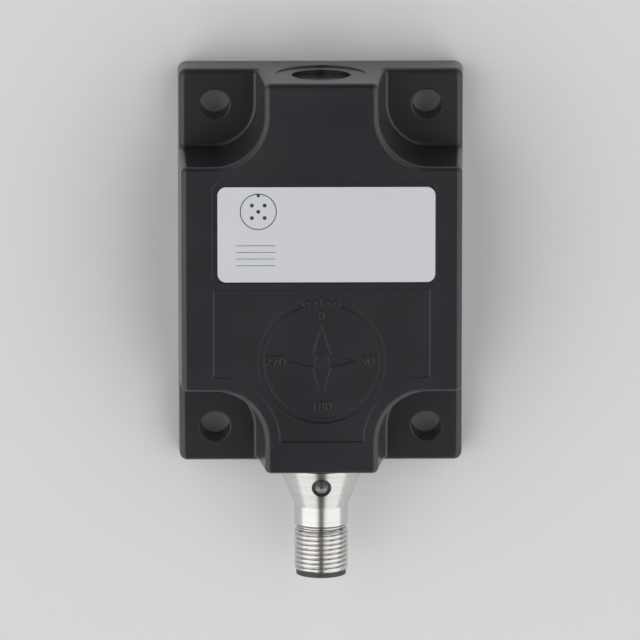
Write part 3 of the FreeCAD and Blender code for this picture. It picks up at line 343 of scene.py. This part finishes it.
def flat_ring(centre, radius, line, low, rise, around=96):
    """A thin printed ring: a rectangle of line by rise carried round a circle."""
    turn = np.linspace(0, 2 * np.pi, around, endpoint=False)
    rings = []
    for reach, height in ((radius - line / 2, low), (radius + line / 2, low),
                          (radius + line / 2, low + rise), (radius - line / 2, low + rise)):
        rings.append(np.column_stack([centre[0] + reach * np.cos(turn), centre[1] + reach * np.sin(turn),
                                      np.full(around, height)]))
    return mesh_of_rings(np.array(rings), wrap=True)


def flat_disc(centre, radius, low, rise, around=24):
    """A thin printed dot: a circle lifted by rise."""
    turn = np.linspace(0, 2 * np.pi, around, endpoint=False)
    rings = [np.column_stack([centre[0] + radius * np.cos(turn), centre[1] + radius * np.sin(turn),
                              np.full(around, height)]) for height in (low, low + rise)]
    return mesh_of_rings(np.array(rings))


film, tree, shader = new_finish("white_label_film", plain=[("IOR", 1.5), ("Coat Weight", 0.25),
                                                           ("Coat Roughness", 0.3)])
film_grain = use_group(tree, coat_grain, grain=0.0008, waves=0.006)
film_touch = use_group(tree, handling, wipe=0.03)
film_colour = two_tone(tree, clouded(tree, film_grain["patches"]), FILM_WHITE, FILM_SHADED)
feed(tree, shader, Base_Color=film_colour, Roughness=clouded(tree, film_touch["wipes"], 0.38, 0.50),
     Normal=bumped(tree, film_grain["height"], 0.000006))
dress(nodes["label"], film)

ink_low = FILM_TOP - INK_FOOT
ink_rise = INK_FOOT + INK_RISE
quarter_turns = np.radians([45, 135, 225, 315])
print_meshes = [flat_ring(LAYOUT_CENTRE, LAYOUT_RADIUS, LAYOUT_LINE, ink_low, ink_rise)]
print_meshes.append(flat_disc(LAYOUT_CENTRE, CONTACT_DOT, ink_low, ink_rise))
for angle in quarter_turns:
    contact = LAYOUT_CENTRE + CONTACT_REACH * np.array([np.cos(angle), np.sin(angle)])
    print_meshes.append(flat_disc(contact, CONTACT_DOT, ink_low, ink_rise))
notch_foot = LAYOUT_CENTRE + (0, LAYOUT_RADIUS - NOTCH_SIDE)
notch_top = LAYOUT_CENTRE + (0, LAYOUT_RADIUS)
print_meshes.append(tapered_bar(notch_foot, notch_top, NOTCH_SIDE, ink_low, ink_rise))
for height in RULED_HEIGHTS:
    print_meshes.append(tapered_bar((RULED_LEFT, height), (RULED_RIGHT, height), RULED_WIDTH,
                                    ink_low, ink_rise))
label_print = joined("label_print", print_meshes)
ink, tree, shader = new_finish("black_label_ink", plain=[("IOR", 1.5)])
ink_grain = use_group(tree, coat_grain, grain=0.0002, waves=0.001)
feed(tree, shader, Base_Color=two_tone(tree, ink_grain["patches"], INK_BLACK, INK_WORN),
     Roughness=clouded(tree, ink_grain["patches"], 0.35, 0.55))
dress(label_print, ink)


# Connector shell: turned brass, nickel plated. Fine tool marks run round it, and an M12
# fine thread is rolled on its front; the shell's solid has a plain cylinder there. Both
# corners of the undercut behind the thread and the thread's grooves get painted shade:
# a dark colour stands in for the shade that falls there.
NICKEL = (0.700, 0.688, 0.672, 1.0)
NICKEL_SHADED = (0.625, 0.612, 0.596, 1.0)
# Painted shade: this dark colour goes where shade falls, in both undercut corners and in the thread's
# grooves.
PAINTED_SHADE = (0.050, 0.048, 0.046, 1.0)
PLUG_AXIS = 0.015
THREAD_START, THREAD_END = 0.0585, 0.0681
SHELL_FRONT = 0.0674
THREAD_CREST, THREAD_ROOT, THREAD_CORE, THREAD_HIDDEN = 0.0060, 0.00548, 0.0055, 0.00535
THREAD_PITCH = 0.00107
COLLAR_COVER = 0.00563
# Where the two rings of painted shade lie along the axis, and how far each one reaches.
SHADE_RINGS = (0.05768, 0.05838)
SHADE_REACH = 0.00017
CONE_SLOPE = 22.14
TURNED_SLOPES = np.radians([0.0, CONE_SLOPE, 45.0, 63.43, 90.0, 180.0])


def build_turned_rings():
    """Rings round the Y axis, from noise that is drawn out round the axis, and slow streaks."""
    tree, inputs, outputs = new_group("turned_rings", {"pitch": 0.0001}, ["height", "streaks"])
    where = add(tree, "SeparateXYZ", [(0, add(tree, "TexCoord").outputs["Object"])]).outputs
    count = add(tree, "Math", [(0, where["Y"]), (1, inputs["pitch"])], operation="DIVIDE").outputs[0]
    side = add(tree, "Math", [(0, where["X"]), (1, 60.0)], operation="MULTIPLY").outputs[0]
    up = add(tree, "Math", [(0, where["Z"]), (1, 60.0)], operation="MULTIPLY").outputs[0]
    drawn = add(tree, "CombineXYZ", [(0, side), (1, count), (2, up)]).outputs[0]
    tree.links.new(add(tree, "TexNoise", [("Vector", drawn), ("Scale", 1.0), ("Detail", 2.0)]).outputs[0],
                   outputs["height"])
    tree.links.new(add(tree, "TexNoise", [("Vector", drawn), ("Scale", 0.12), ("Detail", 3.0)]).outputs[0],
                   outputs["streaks"])
    return tree


turned_rings = build_turned_rings()


def nickel_plate(name, pitch, depth, gloss, groove_shade=0.0):
    """Plated metal with turning marks: bright, a little warm, and streaked round its axis.

    The last argument is how much painted shade, a dark colour standing in for the shade in the thread's
    grooves, goes there, from 0 to 1.
    """
    material, tree, shader = new_finish(name, plain=[("Metallic", 1.0)])
    rings = use_group(tree, turned_rings, pitch=pitch)
    touch = use_group(tree, handling, wipe=0.006)
    streaks = clouded(tree, rings["streaks"])
    shine = clouded(tree, touch["wipes"], gloss - 0.04, gloss + 0.06)
    plate = two_tone(tree, streaks, NICKEL, NICKEL_SHADED)
    where = add(tree, "SeparateXYZ", [(0, add(tree, "TexCoord").outputs["Object"])]).outputs
    above = add(tree, "Math", [(0, where["Z"]), (1, PLUG_AXIS)], operation="SUBTRACT").outputs[0]
    spoke = add(tree, "CombineXYZ", [(0, where["X"]), (1, above)]).outputs[0]
    reach = add(tree, "VectorMath", [(0, spoke)], operation="LENGTH").outputs["Value"]
    # Painted shade in the thread's grooves: dark colour near the root radius.
    groove_shade_mask = between(tree, reach, groove_shade, 0.0, THREAD_ROOT + 0.00002, THREAD_ROOT + 0.00011)
    plate = two_tone(tree, groove_shade_mask, plate, PAINTED_SHADE)
    # Painted shade in both corners of the undercut behind the thread.
    for ring in SHADE_RINGS:
        offset = add(tree, "Math", [(0, where["Y"]), (1, ring)], operation="ADD").outputs[0]
        distance = add(tree, "Math", [(0, offset)], operation="ABSOLUTE").outputs[0]
        corner_shade = between(tree, distance, 1.0, 0.0, SHADE_REACH * 0.4, SHADE_REACH)
        plate = two_tone(tree, corner_shade, plate, PAINTED_SHADE)
    feed(tree, shader, Base_Color=plate, Roughness=shine, Normal=bumped(tree, rings["height"], depth))
    return material


def round_normals(mesh):
    """Gives the turned surfaces their true normals, which thin triangles can't carry.

    A face is turned if its normal has no part round the plug axis. Its slope, the angle
    between its normal and the way out from the axis, is set to the nearest slope of the
    turned profile, and each of its corners then gets that slope at its own place round
    the axis. Other faces stay flat.
    """
    corner_count = len(mesh.loops)
    places = np.empty(len(mesh.vertices) * 3)
    mesh.vertices.foreach_get("co", places)
    owner = np.empty(corner_count, dtype=int)
    mesh.loops.foreach_get("vertex_index", owner)
    face_normal = np.empty(len(mesh.polygons) * 3)
    mesh.polygons.foreach_get("normal", face_normal)
    face_middle = np.empty(len(mesh.polygons) * 3)
    mesh.polygons.foreach_get("center", face_middle)
    corners_of_face = np.empty(len(mesh.polygons), dtype=int)
    mesh.polygons.foreach_get("loop_total", corners_of_face)
    face_normal, face_middle = face_normal.reshape(-1, 3), face_middle.reshape(-1, 3)
    face = np.repeat(np.arange(len(mesh.polygons)), corners_of_face)

    def way_out(points):
        flat = np.column_stack([points[:, 0], points[:, 2] - PLUG_AXIS])
        return flat / np.maximum(np.linalg.norm(flat, axis=1, keepdims=True), 1e-9)

    out_face, out_corner = way_out(face_middle), way_out(places.reshape(-1, 3)[owner])
    radial = (face_normal[:, [0, 2]] * out_face).sum(axis=1)
    around = face_normal[:, 0] * out_face[:, 1] - face_normal[:, 2] * out_face[:, 0]
    slope = np.arctan2(-face_normal[:, 1], radial)
    choice = np.abs(np.abs(slope)[:, None] - TURNED_SLOPES[None, :]).argmin(axis=1)
    snapped = np.sign(slope) * TURNED_SLOPES[choice]
    turned = (np.abs(around) < 0.12) & (np.abs(np.abs(slope) - TURNED_SLOPES[choice]) < math.radians(7))
    round_part = np.cos(snapped)[face][:, None] * out_corner
    normals = np.column_stack([round_part[:, 0], -np.sin(snapped)[face], round_part[:, 1]])
    normals = np.where(turned[face][:, None], normals, face_normal[face])
    mesh.normals_split_custom_set(normals.tolist())


connector_shell = smooth_copy("connector_shell", "plated_connector_shell")
connector_shell.modifiers.clear()
spots = np.empty(len(connector_shell.data.vertices) * 3)
connector_shell.data.vertices.foreach_get("co", spots)
spots = spots.reshape(-1, 3)
away = np.hypot(spots[:, 0], spots[:, 2] - PLUG_AXIS)
threaded = (spots[:, 1] < -THREAD_START + 0.00005) & (away > THREAD_CORE - 0.0001)
shrink = np.where(threaded, THREAD_CORE / away, 1.0)
spots[:, 0] *= shrink
spots[:, 2] = PLUG_AXIS + (spots[:, 2] - PLUG_AXIS) * shrink
connector_shell.data.vertices.foreach_set("co", spots.ravel())
connector_shell.data.update()
round_normals(connector_shell.data)
dress(connector_shell, nickel_plate("turned_nickel", 0.00012, 0.000004, 0.20),
      "connector_shell")


def rolled_thread(name):
    """A sleeve whose radius follows a helix, closed inside the shell's core.

    Outside, the radius goes from root to crest and back once per pitch, as a rounded
    triangle of along / pitch + turn / 360 degrees. It fades in behind the undercut and is
    cut back by a 45 degree chamfer at the front, where its last part hides the collar.
    """
    turn = np.linspace(0, 2 * np.pi, 144, endpoint=False)
    along = np.linspace(0, THREAD_END - THREAD_START, 108)
    grid_along, grid_turn = np.meshgrid(along, turn, indexing="ij")
    phase = (grid_along / THREAD_PITCH + grid_turn / (2 * np.pi)) % 1.0
    ridge = np.clip(1.9 * (1 - np.abs(2 * phase - 1)) - 0.15, 0, 1)
    ridge = ridge ** 2 * (3 - 2 * ridge)
    fade = np.clip(grid_along / 0.0007, 0, 1)
    radius = THREAD_ROOT + (THREAD_CREST - THREAD_ROOT) * ridge * fade
    radius = np.minimum(radius, THREAD_CREST - 0.0003 + (along[-1] - grid_along))
    radius = np.where(grid_along > SHELL_FRONT - THREAD_START, np.maximum(radius, COLLAR_COVER), radius)
    inside = np.full((2, len(turn)), THREAD_HIDDEN)
    reach = np.concatenate([radius, inside])
    front = THREAD_START + np.concatenate([grid_along, np.full((1, len(turn)), along[-1] - 0.0001),
                                           np.full((1, len(turn)), 0.0001)])
    rings = np.stack([reach * np.sin(turn), -front, PLUG_AXIS + reach * np.cos(turn)], axis=-1)
    return joined(name, [mesh_of_rings(rings, wrap=True)])


thread = rolled_thread("rolled_thread")
# The thread gets painted shade in its grooves, a dark colour where shade falls between its ridges.
dress(thread, nickel_plate("rolled_nickel", 0.00005, 0.000001, 0.22, groove_shade=0.7))


# Sealing ring and gasket: black moulded rubber with a dull bloom on it.
RUBBER_BLACK = (0.016, 0.016, 0.017, 1.0)
RUBBER_BLOOM = (0.045, 0.045, 0.047, 1.0)
rubber, tree, shader = new_finish("moulded_rubber", plain=[("IOR", 1.52)])
bloom = use_group(tree, coat_grain, grain=0.0003, waves=0.0012)
feed(tree, shader, Base_Color=two_tone(tree, between(tree, bloom["patches"], 0.0, 1.0, 0.4, 0.8),
                                       RUBBER_BLACK, RUBBER_BLOOM),
     Roughness=clouded(tree, bloom["patches"], 0.62, 0.82),
     Normal=bumped(tree, bloom["height"], 0.00001))
dress(smooth_copy("connector_o_ring", "sealing_ring"), rubber, "connector_o_ring")
dress(nodes["base_gasket"], rubber)


# Contact carrier: glass-filled black plastic, moulded round the contacts' holes with a
# coding key in the socket. The collar in front of the thread is a little glossy.
CARRIER_BLACK = (0.028, 0.029, 0.033, 1.0)
CARRIER_GREY = (0.046, 0.047, 0.052, 1.0)
plastic, tree, shader = new_finish("glass_filled_plastic", plain=[("IOR", 1.53)])
flow = use_group(tree, coat_grain, grain=0.00015, waves=0.0015)
feed(tree, shader, Base_Color=two_tone(tree, clouded(tree, flow["patches"]),
                                       CARRIER_BLACK, CARRIER_GREY),
     Roughness=clouded(tree, flow["patches"], 0.40, 0.52),
     Normal=bumped(tree, flow["height"], 0.000006))
dress(smooth_copy("contact_carrier", "moulded_contact_carrier"), plastic,
      "contact_carrier")


# Contacts: five turned pins, gold over nickel, with rounded tips for the socket plug.
GOLD = (0.830, 0.600, 0.240, 1.0)
GOLD_PALE = (0.870, 0.680, 0.360, 1.0)
gold, tree, shader = new_finish("gold_plate", plain=[("Metallic", 1.0)])
pin_rings = use_group(tree, turned_rings, pitch=0.00008)
feed(tree, shader, Base_Color=two_tone(tree, clouded(tree, pin_rings["streaks"]), GOLD, GOLD_PALE),
     Roughness=clouded(tree, pin_rings["streaks"], 0.16, 0.26),
     Normal=bumped(tree, pin_rings["height"], 0.000001))
for number in range(1, 6):
    dress(smooth_copy(f"contact_pin_{number}", f"gold_contact_{number}"), gold,
          f"contact_pin_{number}")


# Indicator window: a smoky clear plastic lens pressed into the shell, so that the lamp
# under it shows only while it is lit. A pale crescent in its front half is a painted
# highlight, standing in for the light that the lens catches there.
SMOKE = (0.260, 0.262, 0.262, 1.0)
SMOKE_DEEP = (0.160, 0.162, 0.162, 1.0)
# Painted highlight: the pale colour of the crescent and the inner and outer radii of its ring.
HIGHLIGHT_WHITE = (0.900, 0.900, 0.890, 1.0)
HIGHLIGHT_INNER, HIGHLIGHT_OUTER = 0.00055, 0.00125
smoked, tree, shader = new_finish("smoked_clear_plastic", plain=[("IOR", 1.49), ("Transmission Weight", 0.75),
                                                                 ("Metallic", 0.0)])
swirl = use_group(tree, coat_grain, grain=0.0006, waves=0.0015)
lens_low, lens_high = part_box("indicator_lens")
lens_middle = (Vector(lens_low) + Vector(lens_high)) / 2
from_lens = add(tree, "Mapping", [("Vector", add(tree, "TexCoord").outputs["Object"]),
                                  ("Location", (-lens_middle.x, -lens_middle.y, 0.0))]).outputs[0]
lens_parts = add(tree, "SeparateXYZ", [(0, from_lens)]).outputs
flat_place = add(tree, "CombineXYZ", [(0, lens_parts["X"]), (1, lens_parts["Y"])]).outputs[0]
lens_reach = add(tree, "VectorMath", [(0, flat_place)], operation="LENGTH").outputs["Value"]
# Painted highlight: a pale half ring, limited to the front half of the lens.
ring_inner = between(tree, lens_reach, 0.0, 1.0, HIGHLIGHT_INNER - 0.0002, HIGHLIGHT_INNER)
ring_outer = between(tree, lens_reach, 1.0, 0.0, HIGHLIGHT_OUTER, HIGHLIGHT_OUTER + 0.0002)
front_half = between(tree, lens_parts["Y"], 1.0, 0.0, -0.0006, 0.0003)
painted_highlight = add(tree, "Math", [(0, ring_inner), (1, ring_outer)], operation="MULTIPLY").outputs[0]
painted_highlight = add(tree, "Math", [(0, painted_highlight), (1, front_half)], operation="MULTIPLY").outputs[0]
smoke = two_tone(tree, swirl["patches"], SMOKE, SMOKE_DEEP)
feed(tree, shader, Base_Color=two_tone(tree, painted_highlight, smoke, HIGHLIGHT_WHITE),
     Roughness=clouded(tree, swirl["patches"], 0.04, 0.09))
dress(smooth_copy("indicator_lens", "smoked_indicator_lens"), smoked, "indicator_lens")


# Indicator lamp: a two-colour light-emitting diode in a white reflector cup, yellowed by
# the phosphor in its middle.
LAMP_WHITE = (0.620, 0.610, 0.560, 1.0)
LAMP_PHOSPHOR = (0.600, 0.520, 0.160, 1.0)
lamp, tree, shader = new_finish("lamp_package", plain=[("IOR", 1.5)])
lamp_low, lamp_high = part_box("indicator_lamp")
lamp_middle = (Vector(lamp_low) + Vector(lamp_high)) / 2
centred = add(tree, "Mapping", [("Vector", add(tree, "TexCoord").outputs["Object"]),
                                ("Location", tuple(-lamp_middle))]).outputs[0]
cup_reach = add(tree, "VectorMath", [(0, centred)], operation="LENGTH").outputs["Value"]
feed(tree, shader, Base_Color=two_tone(tree, between(tree, cup_reach, 1.0, 0.0, 0.0004, 0.0006),
                                       LAMP_WHITE, LAMP_PHOSPHOR),
     Roughness=between(tree, cup_reach, 0.2, 0.5, 0.0004, 0.0006))
dress(nodes["indicator_lamp"], lamp)


# Base plate: zinc-plated steel sheet, powder coated like the housing but thinner, so
# its rolling marks still show. It is let into the mounting face.
PLATE_DEEP = (0.017, 0.018, 0.020, 1.0)
PLATE_LIGHT = (0.027, 0.028, 0.031, 1.0)
dress(smooth_copy("base_plate", "coated_base_plate"),
      powder_coat("plate_powder_coat", PLATE_DEEP, PLATE_LIGHT, 0.0004, 0.004, 0.50),
      "base_plate")


# Screws of the plate and the board: cold-headed stainless steel with a hexagon socket.
STEEL = (0.560, 0.555, 0.540, 1.0)
STEEL_DARK = (0.380, 0.375, 0.365, 1.0)
steel, tree, shader = new_finish("stainless_screws", plain=[("Metallic", 1.0)])
headed = use_group(tree, coat_grain, grain=0.00018, waves=0.0009)
feed(tree, shader, Base_Color=two_tone(tree, clouded(tree, headed["patches"]), STEEL, STEEL_DARK),
     Roughness=clouded(tree, headed["patches"], 0.26, 0.42),
     Normal=bumped(tree, headed["height"], 0.000004))
dress(smooth_copy("base_plate_screws", "plate_screws"), steel, "base_plate_screws")
dress(smooth_copy("board_screws", "board_fixing_screws"), steel, "board_screws")


# Circuit boards: glass-fibre boards under green solder mask. The copper tracks show
# through it as paler lines that turn at right angles.
MASK_GREEN = (0.012, 0.110, 0.045, 1.0)
MASK_TRACK = (0.030, 0.230, 0.080, 1.0)
TRACK_SPACING = 0.0024
mask, tree, shader = new_finish("green_solder_mask", plain=[("IOR", 1.52), ("Coat Weight", 0.4),
                                                            ("Coat Roughness", 0.15)])
place = add(tree, "TexCoord").outputs["Object"]
cells = add(tree, "TexVoronoi", [("Vector", place), ("Scale", 1.0 / TRACK_SPACING)], distance="CHEBYCHEV",
            feature="DISTANCE_TO_EDGE").outputs["Distance"]
tracks = between(tree, cells, 1.0, 0.0, 0.05, 0.09)
feed(tree, shader, Base_Color=two_tone(tree, tracks, MASK_GREEN, MASK_TRACK),
     Roughness=between(tree, tracks, 0.32, 0.24), Normal=bumped(tree, tracks, 0.00003))
for board in ("main_board", "indicator_board"):
    dress(nodes[board], mask)


# Flexible circuit: amber polyimide film over copper conductors that run from pin to header.
FILM_AMBER = (0.500, 0.210, 0.030, 1.0)
FILM_COPPER = (0.640, 0.330, 0.120, 1.0)
CONDUCTOR_SPACING = 0.0012
amber, tree, shader = new_finish("polyimide_film", plain=[("IOR", 1.7), ("Coat Weight", 0.3),
                                                          ("Coat Roughness", 0.2)])
across = add(tree, "SeparateXYZ", [(0, add(tree, "TexCoord").outputs["Object"])]).outputs["X"]
lane = add(tree, "Math", [(0, across), (1, 1.0 / CONDUCTOR_SPACING)], operation="MULTIPLY").outputs[0]
wave = add(tree, "Math", [(0, lane), (1, 1.0)], operation="PINGPONG").outputs[0]
copper = between(tree, wave, 0.0, 1.0, 0.55, 0.65)
feed(tree, shader, Base_Color=two_tone(tree, copper, FILM_AMBER, FILM_COPPER),
     Roughness=between(tree, copper, 0.30, 0.40), Normal=bumped(tree, copper, 0.00003))
dress(nodes["flex_circuit"], amber)


# Board header: ivory high-temperature plastic that grips the flexible circuit.
IVORY = (0.640, 0.610, 0.520, 1.0)
IVORY_DARK = (0.560, 0.520, 0.420, 1.0)
ivory, tree, shader = new_finish("ivory_plastic", plain=[("IOR", 1.5)])
moulded = use_group(tree, coat_grain, grain=0.0002, waves=0.002)
feed(tree, shader, Base_Color=two_tone(tree, moulded["patches"], IVORY, IVORY_DARK),
     Roughness=clouded(tree, moulded["patches"], 0.40, 0.55),
     Normal=bumped(tree, moulded["height"], 0.000006))
dress(nodes["board_header"], ivory)


# Moulded packages on the board: matte black epoxy bodies with flat tinned leads that
# come out along their sides.
EPOXY_BLACK = (0.014, 0.014, 0.015, 1.0)
EPOXY_GREY = (0.030, 0.030, 0.032, 1.0)
TIN = (0.620, 0.620, 0.630, 1.0)
PACKAGES = (("microcontroller", -0.0145, 0.0050, 0.0050, 0.0050),
            ("bus_transceiver", 0.0145, 0.0050, 0.0025, 0.0020),
            ("voltage_regulator", 0.0150, -0.0080, 0.00325, 0.00305),
            ("surge_diode", -0.0120, -0.0080, 0.0018, 0.00215))


def build_outside_body():
    """1 outside an upright rectangle round a centre, and 0 inside it."""
    names = {"centre_x": 0.0, "centre_y": 0.0, "half_x": 0.005, "half_y": 0.005}
    tree, inputs, outputs = new_group("outside_body", names, ["leads"])
    where = add(tree, "SeparateXYZ", [(0, add(tree, "TexCoord").outputs["Object"])]).outputs
    beyond = []
    for axis, centre, half in (("X", "centre_x", "half_x"), ("Y", "centre_y", "half_y")):
        offset = add(tree, "Math", [(0, where[axis]), (1, inputs[centre])], operation="SUBTRACT").outputs[0]
        distance = add(tree, "Math", [(0, offset)], operation="ABSOLUTE").outputs[0]
        limit = add(tree, "Math", [(0, inputs[half]), (1, 0.00002)], operation="ADD").outputs[0]
        beyond.append(add(tree, "Math", [(0, distance), (1, limit)], operation="GREATER_THAN").outputs[0])
    either = add(tree, "Math", [(0, beyond[0]), (1, beyond[1])], operation="MAXIMUM").outputs[0]
    tree.links.new(either, outputs["leads"])
    return tree


outside_body = build_outside_body()
for name, centre_x, centre_y, half_x, half_y in PACKAGES:
    epoxy, tree, shader = new_finish(f"{name}_epoxy", plain=[("IOR", 1.55)])
    grit = use_group(tree, coat_grain, grain=0.00012, waves=0.0012)
    leads = use_group(tree, outside_body, centre_x=centre_x, centre_y=centre_y, half_x=half_x,
                      half_y=half_y)["leads"]
    body_colour = two_tone(tree, grit["patches"], EPOXY_BLACK, EPOXY_GREY)
    feed(tree, shader, Base_Color=two_tone(tree, leads, body_colour, TIN), Metallic=leads,
         Roughness=between(tree, leads, 0.62, 0.30), Normal=bumped(tree, grit["height"], 0.000006))
    dress(nodes[name], epoxy)


# Sensing chip: a glazed ceramic package with a gold-plated lid soldered on its top.
CERAMIC = (0.110, 0.085, 0.075, 1.0)
LID_GOLD = (0.760, 0.600, 0.330, 1.0)
LID_HALF = 0.0034
chip_low, chip_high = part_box("tilt_sensor_chip")
chip_middle = (Vector(chip_low) + Vector(chip_high)) / 2
ceramic, tree, shader = new_finish("ceramic_and_lid", plain=[("IOR", 1.6)])
off_lid = use_group(tree, outside_body, centre_x=chip_middle.x, centre_y=chip_middle.y, half_x=LID_HALF,
                    half_y=LID_HALF)["leads"]
on_lid = add(tree, "Math", [(0, 1.0), (1, off_lid)], operation="SUBTRACT").outputs[0]
glaze = use_group(tree, coat_grain, grain=0.0003, waves=0.0018)
feed(tree, shader, Base_Color=two_tone(tree, on_lid, CERAMIC, LID_GOLD), Metallic=on_lid,
     Roughness=clouded(tree, glaze["patches"], 0.25, 0.42),
     Normal=bumped(tree, glaze["height"], 0.000004))
dress(nodes["tilt_sensor_chip"], ceramic)


# Crystal and filter capacitors: drawn metal cans. The capacitors stand on black plastic
# bases and have a dark polarity mark over one side of the top.
CAN_BRIGHT = (0.600, 0.600, 0.610, 1.0)
CAN_DULL = (0.440, 0.440, 0.455, 1.0)
BOARD_LOWER_SIDE = 0.0114
CAPACITOR_BASE = 0.0009
MARK_WIDTH = 0.0018
for name in ("crystal", "filter_capacitor_1", "filter_capacitor_2"):
    low, high = (Vector(corner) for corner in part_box(name))
    can, tree, shader = new_finish(f"{name}_can", plain=[("IOR", 1.5)])
    drawn_metal = use_group(tree, coat_grain, grain=0.0002, waves=0.0015)
    colour = two_tone(tree, clouded(tree, drawn_metal["patches"]), CAN_BRIGHT, CAN_DULL)
    where = add(tree, "SeparateXYZ", [(0, add(tree, "TexCoord").outputs["Object"])]).outputs
    if name == "crystal":
        dark = add(tree, "Math", [(0, where["Z"]), (1, low.z + 0.0003)], operation="LESS_THAN").outputs[0]
    else:
        base = add(tree, "Math", [(0, where["Z"]), (1, BOARD_LOWER_SIDE - CAPACITOR_BASE)],
                   operation="GREATER_THAN").outputs[0]
        marked = add(tree, "Math", [(0, where["X"]), (1, high.x - MARK_WIDTH)],
                     operation="GREATER_THAN").outputs[0]
        dark = add(tree, "Math", [(0, base), (1, marked)], operation="MAXIMUM").outputs[0]
    bare = add(tree, "Math", [(0, 1.0), (1, dark)], operation="SUBTRACT").outputs[0]
    feed(tree, shader, Base_Color=two_tone(tree, dark, colour, EPOXY_BLACK), Metallic=bare,
         Roughness=clouded(tree, drawn_metal["patches"], 0.24, 0.40),
         Normal=bumped(tree, drawn_metal["height"], 0.000003))
    dress(smooth_copy(name, f"{name}_metal_can"), can, name)


# Inductor: a ferrite drum, ground flat on top, on a moulded base.
FERRITE = (0.040, 0.040, 0.043, 1.0)
FERRITE_GROUND = (0.085, 0.085, 0.088, 1.0)
ferrite, tree, shader = new_finish("ground_ferrite", plain=[("IOR", 1.9)])
ground = use_group(tree, coat_grain, grain=0.00016, waves=0.0014)
feed(tree, shader, Base_Color=two_tone(tree, clouded(tree, ground["patches"]),
                                       FERRITE, FERRITE_GROUND),
     Roughness=clouded(tree, ground["patches"], 0.36, 0.50),
     Normal=bumped(tree, ground["height"], 0.000008))
dress(smooth_copy("inductor", "ferrite_inductor"), ferrite, "inductor")


# Floor: a plain pale studio floor. The sensor lies on it, so it takes the soft shadow.
FLOOR_SIZE = 6.0
FLOOR_DROP = 0.0001
FLOOR_GREY = (0.800, 0.800, 0.805, 1.0)
FLOOR_PALE = (0.815, 0.815, 0.818, 1.0)
floor_mesh = bpy.data.meshes.new("studio_floor")
half = FLOOR_SIZE / 2
floor_mesh.from_pydata([(-half, -half, -FLOOR_DROP), (half, -half, -FLOOR_DROP),
                        (half, half, -FLOOR_DROP), (-half, half, -FLOOR_DROP)], [], [(0, 1, 2, 3)])
floor = bpy.data.objects.new("studio_floor", floor_mesh)
bpy.context.scene.collection.objects.link(floor)
paper, tree, shader = new_finish("pale_floor", plain=[("Roughness", 0.9)])
fibres = use_group(tree, coat_grain, grain=0.002, waves=0.08)
feed(tree, shader, Base_Color=two_tone(tree, fibres["patches"], FLOOR_GREY, FLOOR_PALE))
floor_mesh.materials.append(paper)


# Light: a bright wall on the left and right with a dark gap overhead, where the camera
# looks in, and a large soft lamp on each side. The left lamp is the stronger one, and
# the room is dimmer beyond the end with the blank port.
ROOM_LIGHT = 1.16
GAP_LIGHT = 0.05
GAP_MIDDLE, GAP_EDGE = 0.10, 0.27
PORT_SIDE = 0.48
world = bpy.data.worlds.new("studio")
bpy.context.scene.world = world
world.use_nodes = True
tree = world.node_tree
sky_parts = add(tree, "SeparateXYZ", [(0, add(tree, "TexCoord").outputs["Generated"])]).outputs
sideways = add(tree, "Math", [(0, sky_parts["X"])], operation="ABSOLUTE").outputs[0]
room = add(tree, "MapRange", [("Value", sideways), ("From Min", GAP_MIDDLE), ("From Max", GAP_EDGE),
                              ("To Min", GAP_LIGHT), ("To Max", ROOM_LIGHT)],
           interpolation_type="SMOOTHSTEP").outputs[0]
seen = add(tree, "LightPath").outputs["Is Camera Ray"]
dimmed = add(tree, "MapRange", [("Value", sky_parts["Y"]), ("From Min", 0.05), ("From Max", 0.50),
                                ("To Min", 1.0), ("To Max", PORT_SIDE)]).outputs[0]
lit = add(tree, "Math", [(0, room), (1, dimmed)], operation="MULTIPLY").outputs[0]
strength = add(tree, "Mix", [(0, seen), (2, lit), (3, 1.0)], data_type="FLOAT").outputs[0]
tree.links.new(strength, tree.nodes["Background"].inputs["Strength"])
tree.nodes["Background"].inputs["Color"].default_value = (1.0, 1.0, 1.0, 1.0)


def soft_lamp(name, place, width, length, power, target=(0.0, -0.01, 0.01)):
    """A rectangular lamp at a place, turned to face the target."""
    lamp_data = bpy.data.lights.new(name, "AREA")
    lamp_data.shape = "RECTANGLE"
    lamp_data.size, lamp_data.size_y = width, length
    lamp_data.energy = power
    hung = bpy.data.objects.new(name, lamp_data)
    bpy.context.scene.collection.objects.link(hung)
    hung.location = place
    hung.rotation_euler = (Vector(target) - Vector(place)).to_track_quat("-Z", "Y").to_euler()


soft_lamp("left_lamp", (-1.75, -0.45, 0.95), 2.6, 3.6, 8.0)
soft_lamp("right_lamp", (1.80, -0.45, 0.95), 2.6, 3.6, 5.0)


# Camera: 1.92 m above the sensor, almost straight over it and tipped towards its blank
# end, with a long lens that frames it as in the photograph.
SEEN_FROM = 1.9189
TIP, LEAN = math.radians(11.17), math.radians(0.74)
MIDDLE = Vector((0.0, 0.0, 0.012))
AIM_RIGHT, AIM_UP = -0.000204, -0.01165
FOCAL_PIXELS, FRAME_PIXELS, SENSOR = 8569.0, 640.0, 36.0
outward = Vector((-math.sin(LEAN) * math.cos(TIP), math.sin(TIP), math.cos(LEAN) * math.cos(TIP)))
upward = (Vector((0.0, 1.0, 0.0)) - outward * outward.y).normalized()
rightward = upward.cross(outward)
station = MIDDLE + outward * SEEN_FROM
aim = MIDDLE + rightward * AIM_RIGHT + upward * AIM_UP
back = (station - aim).normalized()
side = upward.cross(back).normalized()
top = back.cross(side)
camera_data = bpy.data.cameras.new("camera")
camera_data.sensor_width = SENSOR
camera_data.lens = FOCAL_PIXELS / FRAME_PIXELS * SENSOR
camera_data.clip_end = 20.0
camera = bpy.data.objects.new("camera", camera_data)
bpy.context.scene.collection.objects.link(camera)
turned = Matrix((side, top, back)).transposed().to_4x4()
camera.matrix_world = Matrix.Translation(station) @ turned
bpy.context.scene.camera = camera
bpy.context.scene.view_settings.view_transform = "Standard"
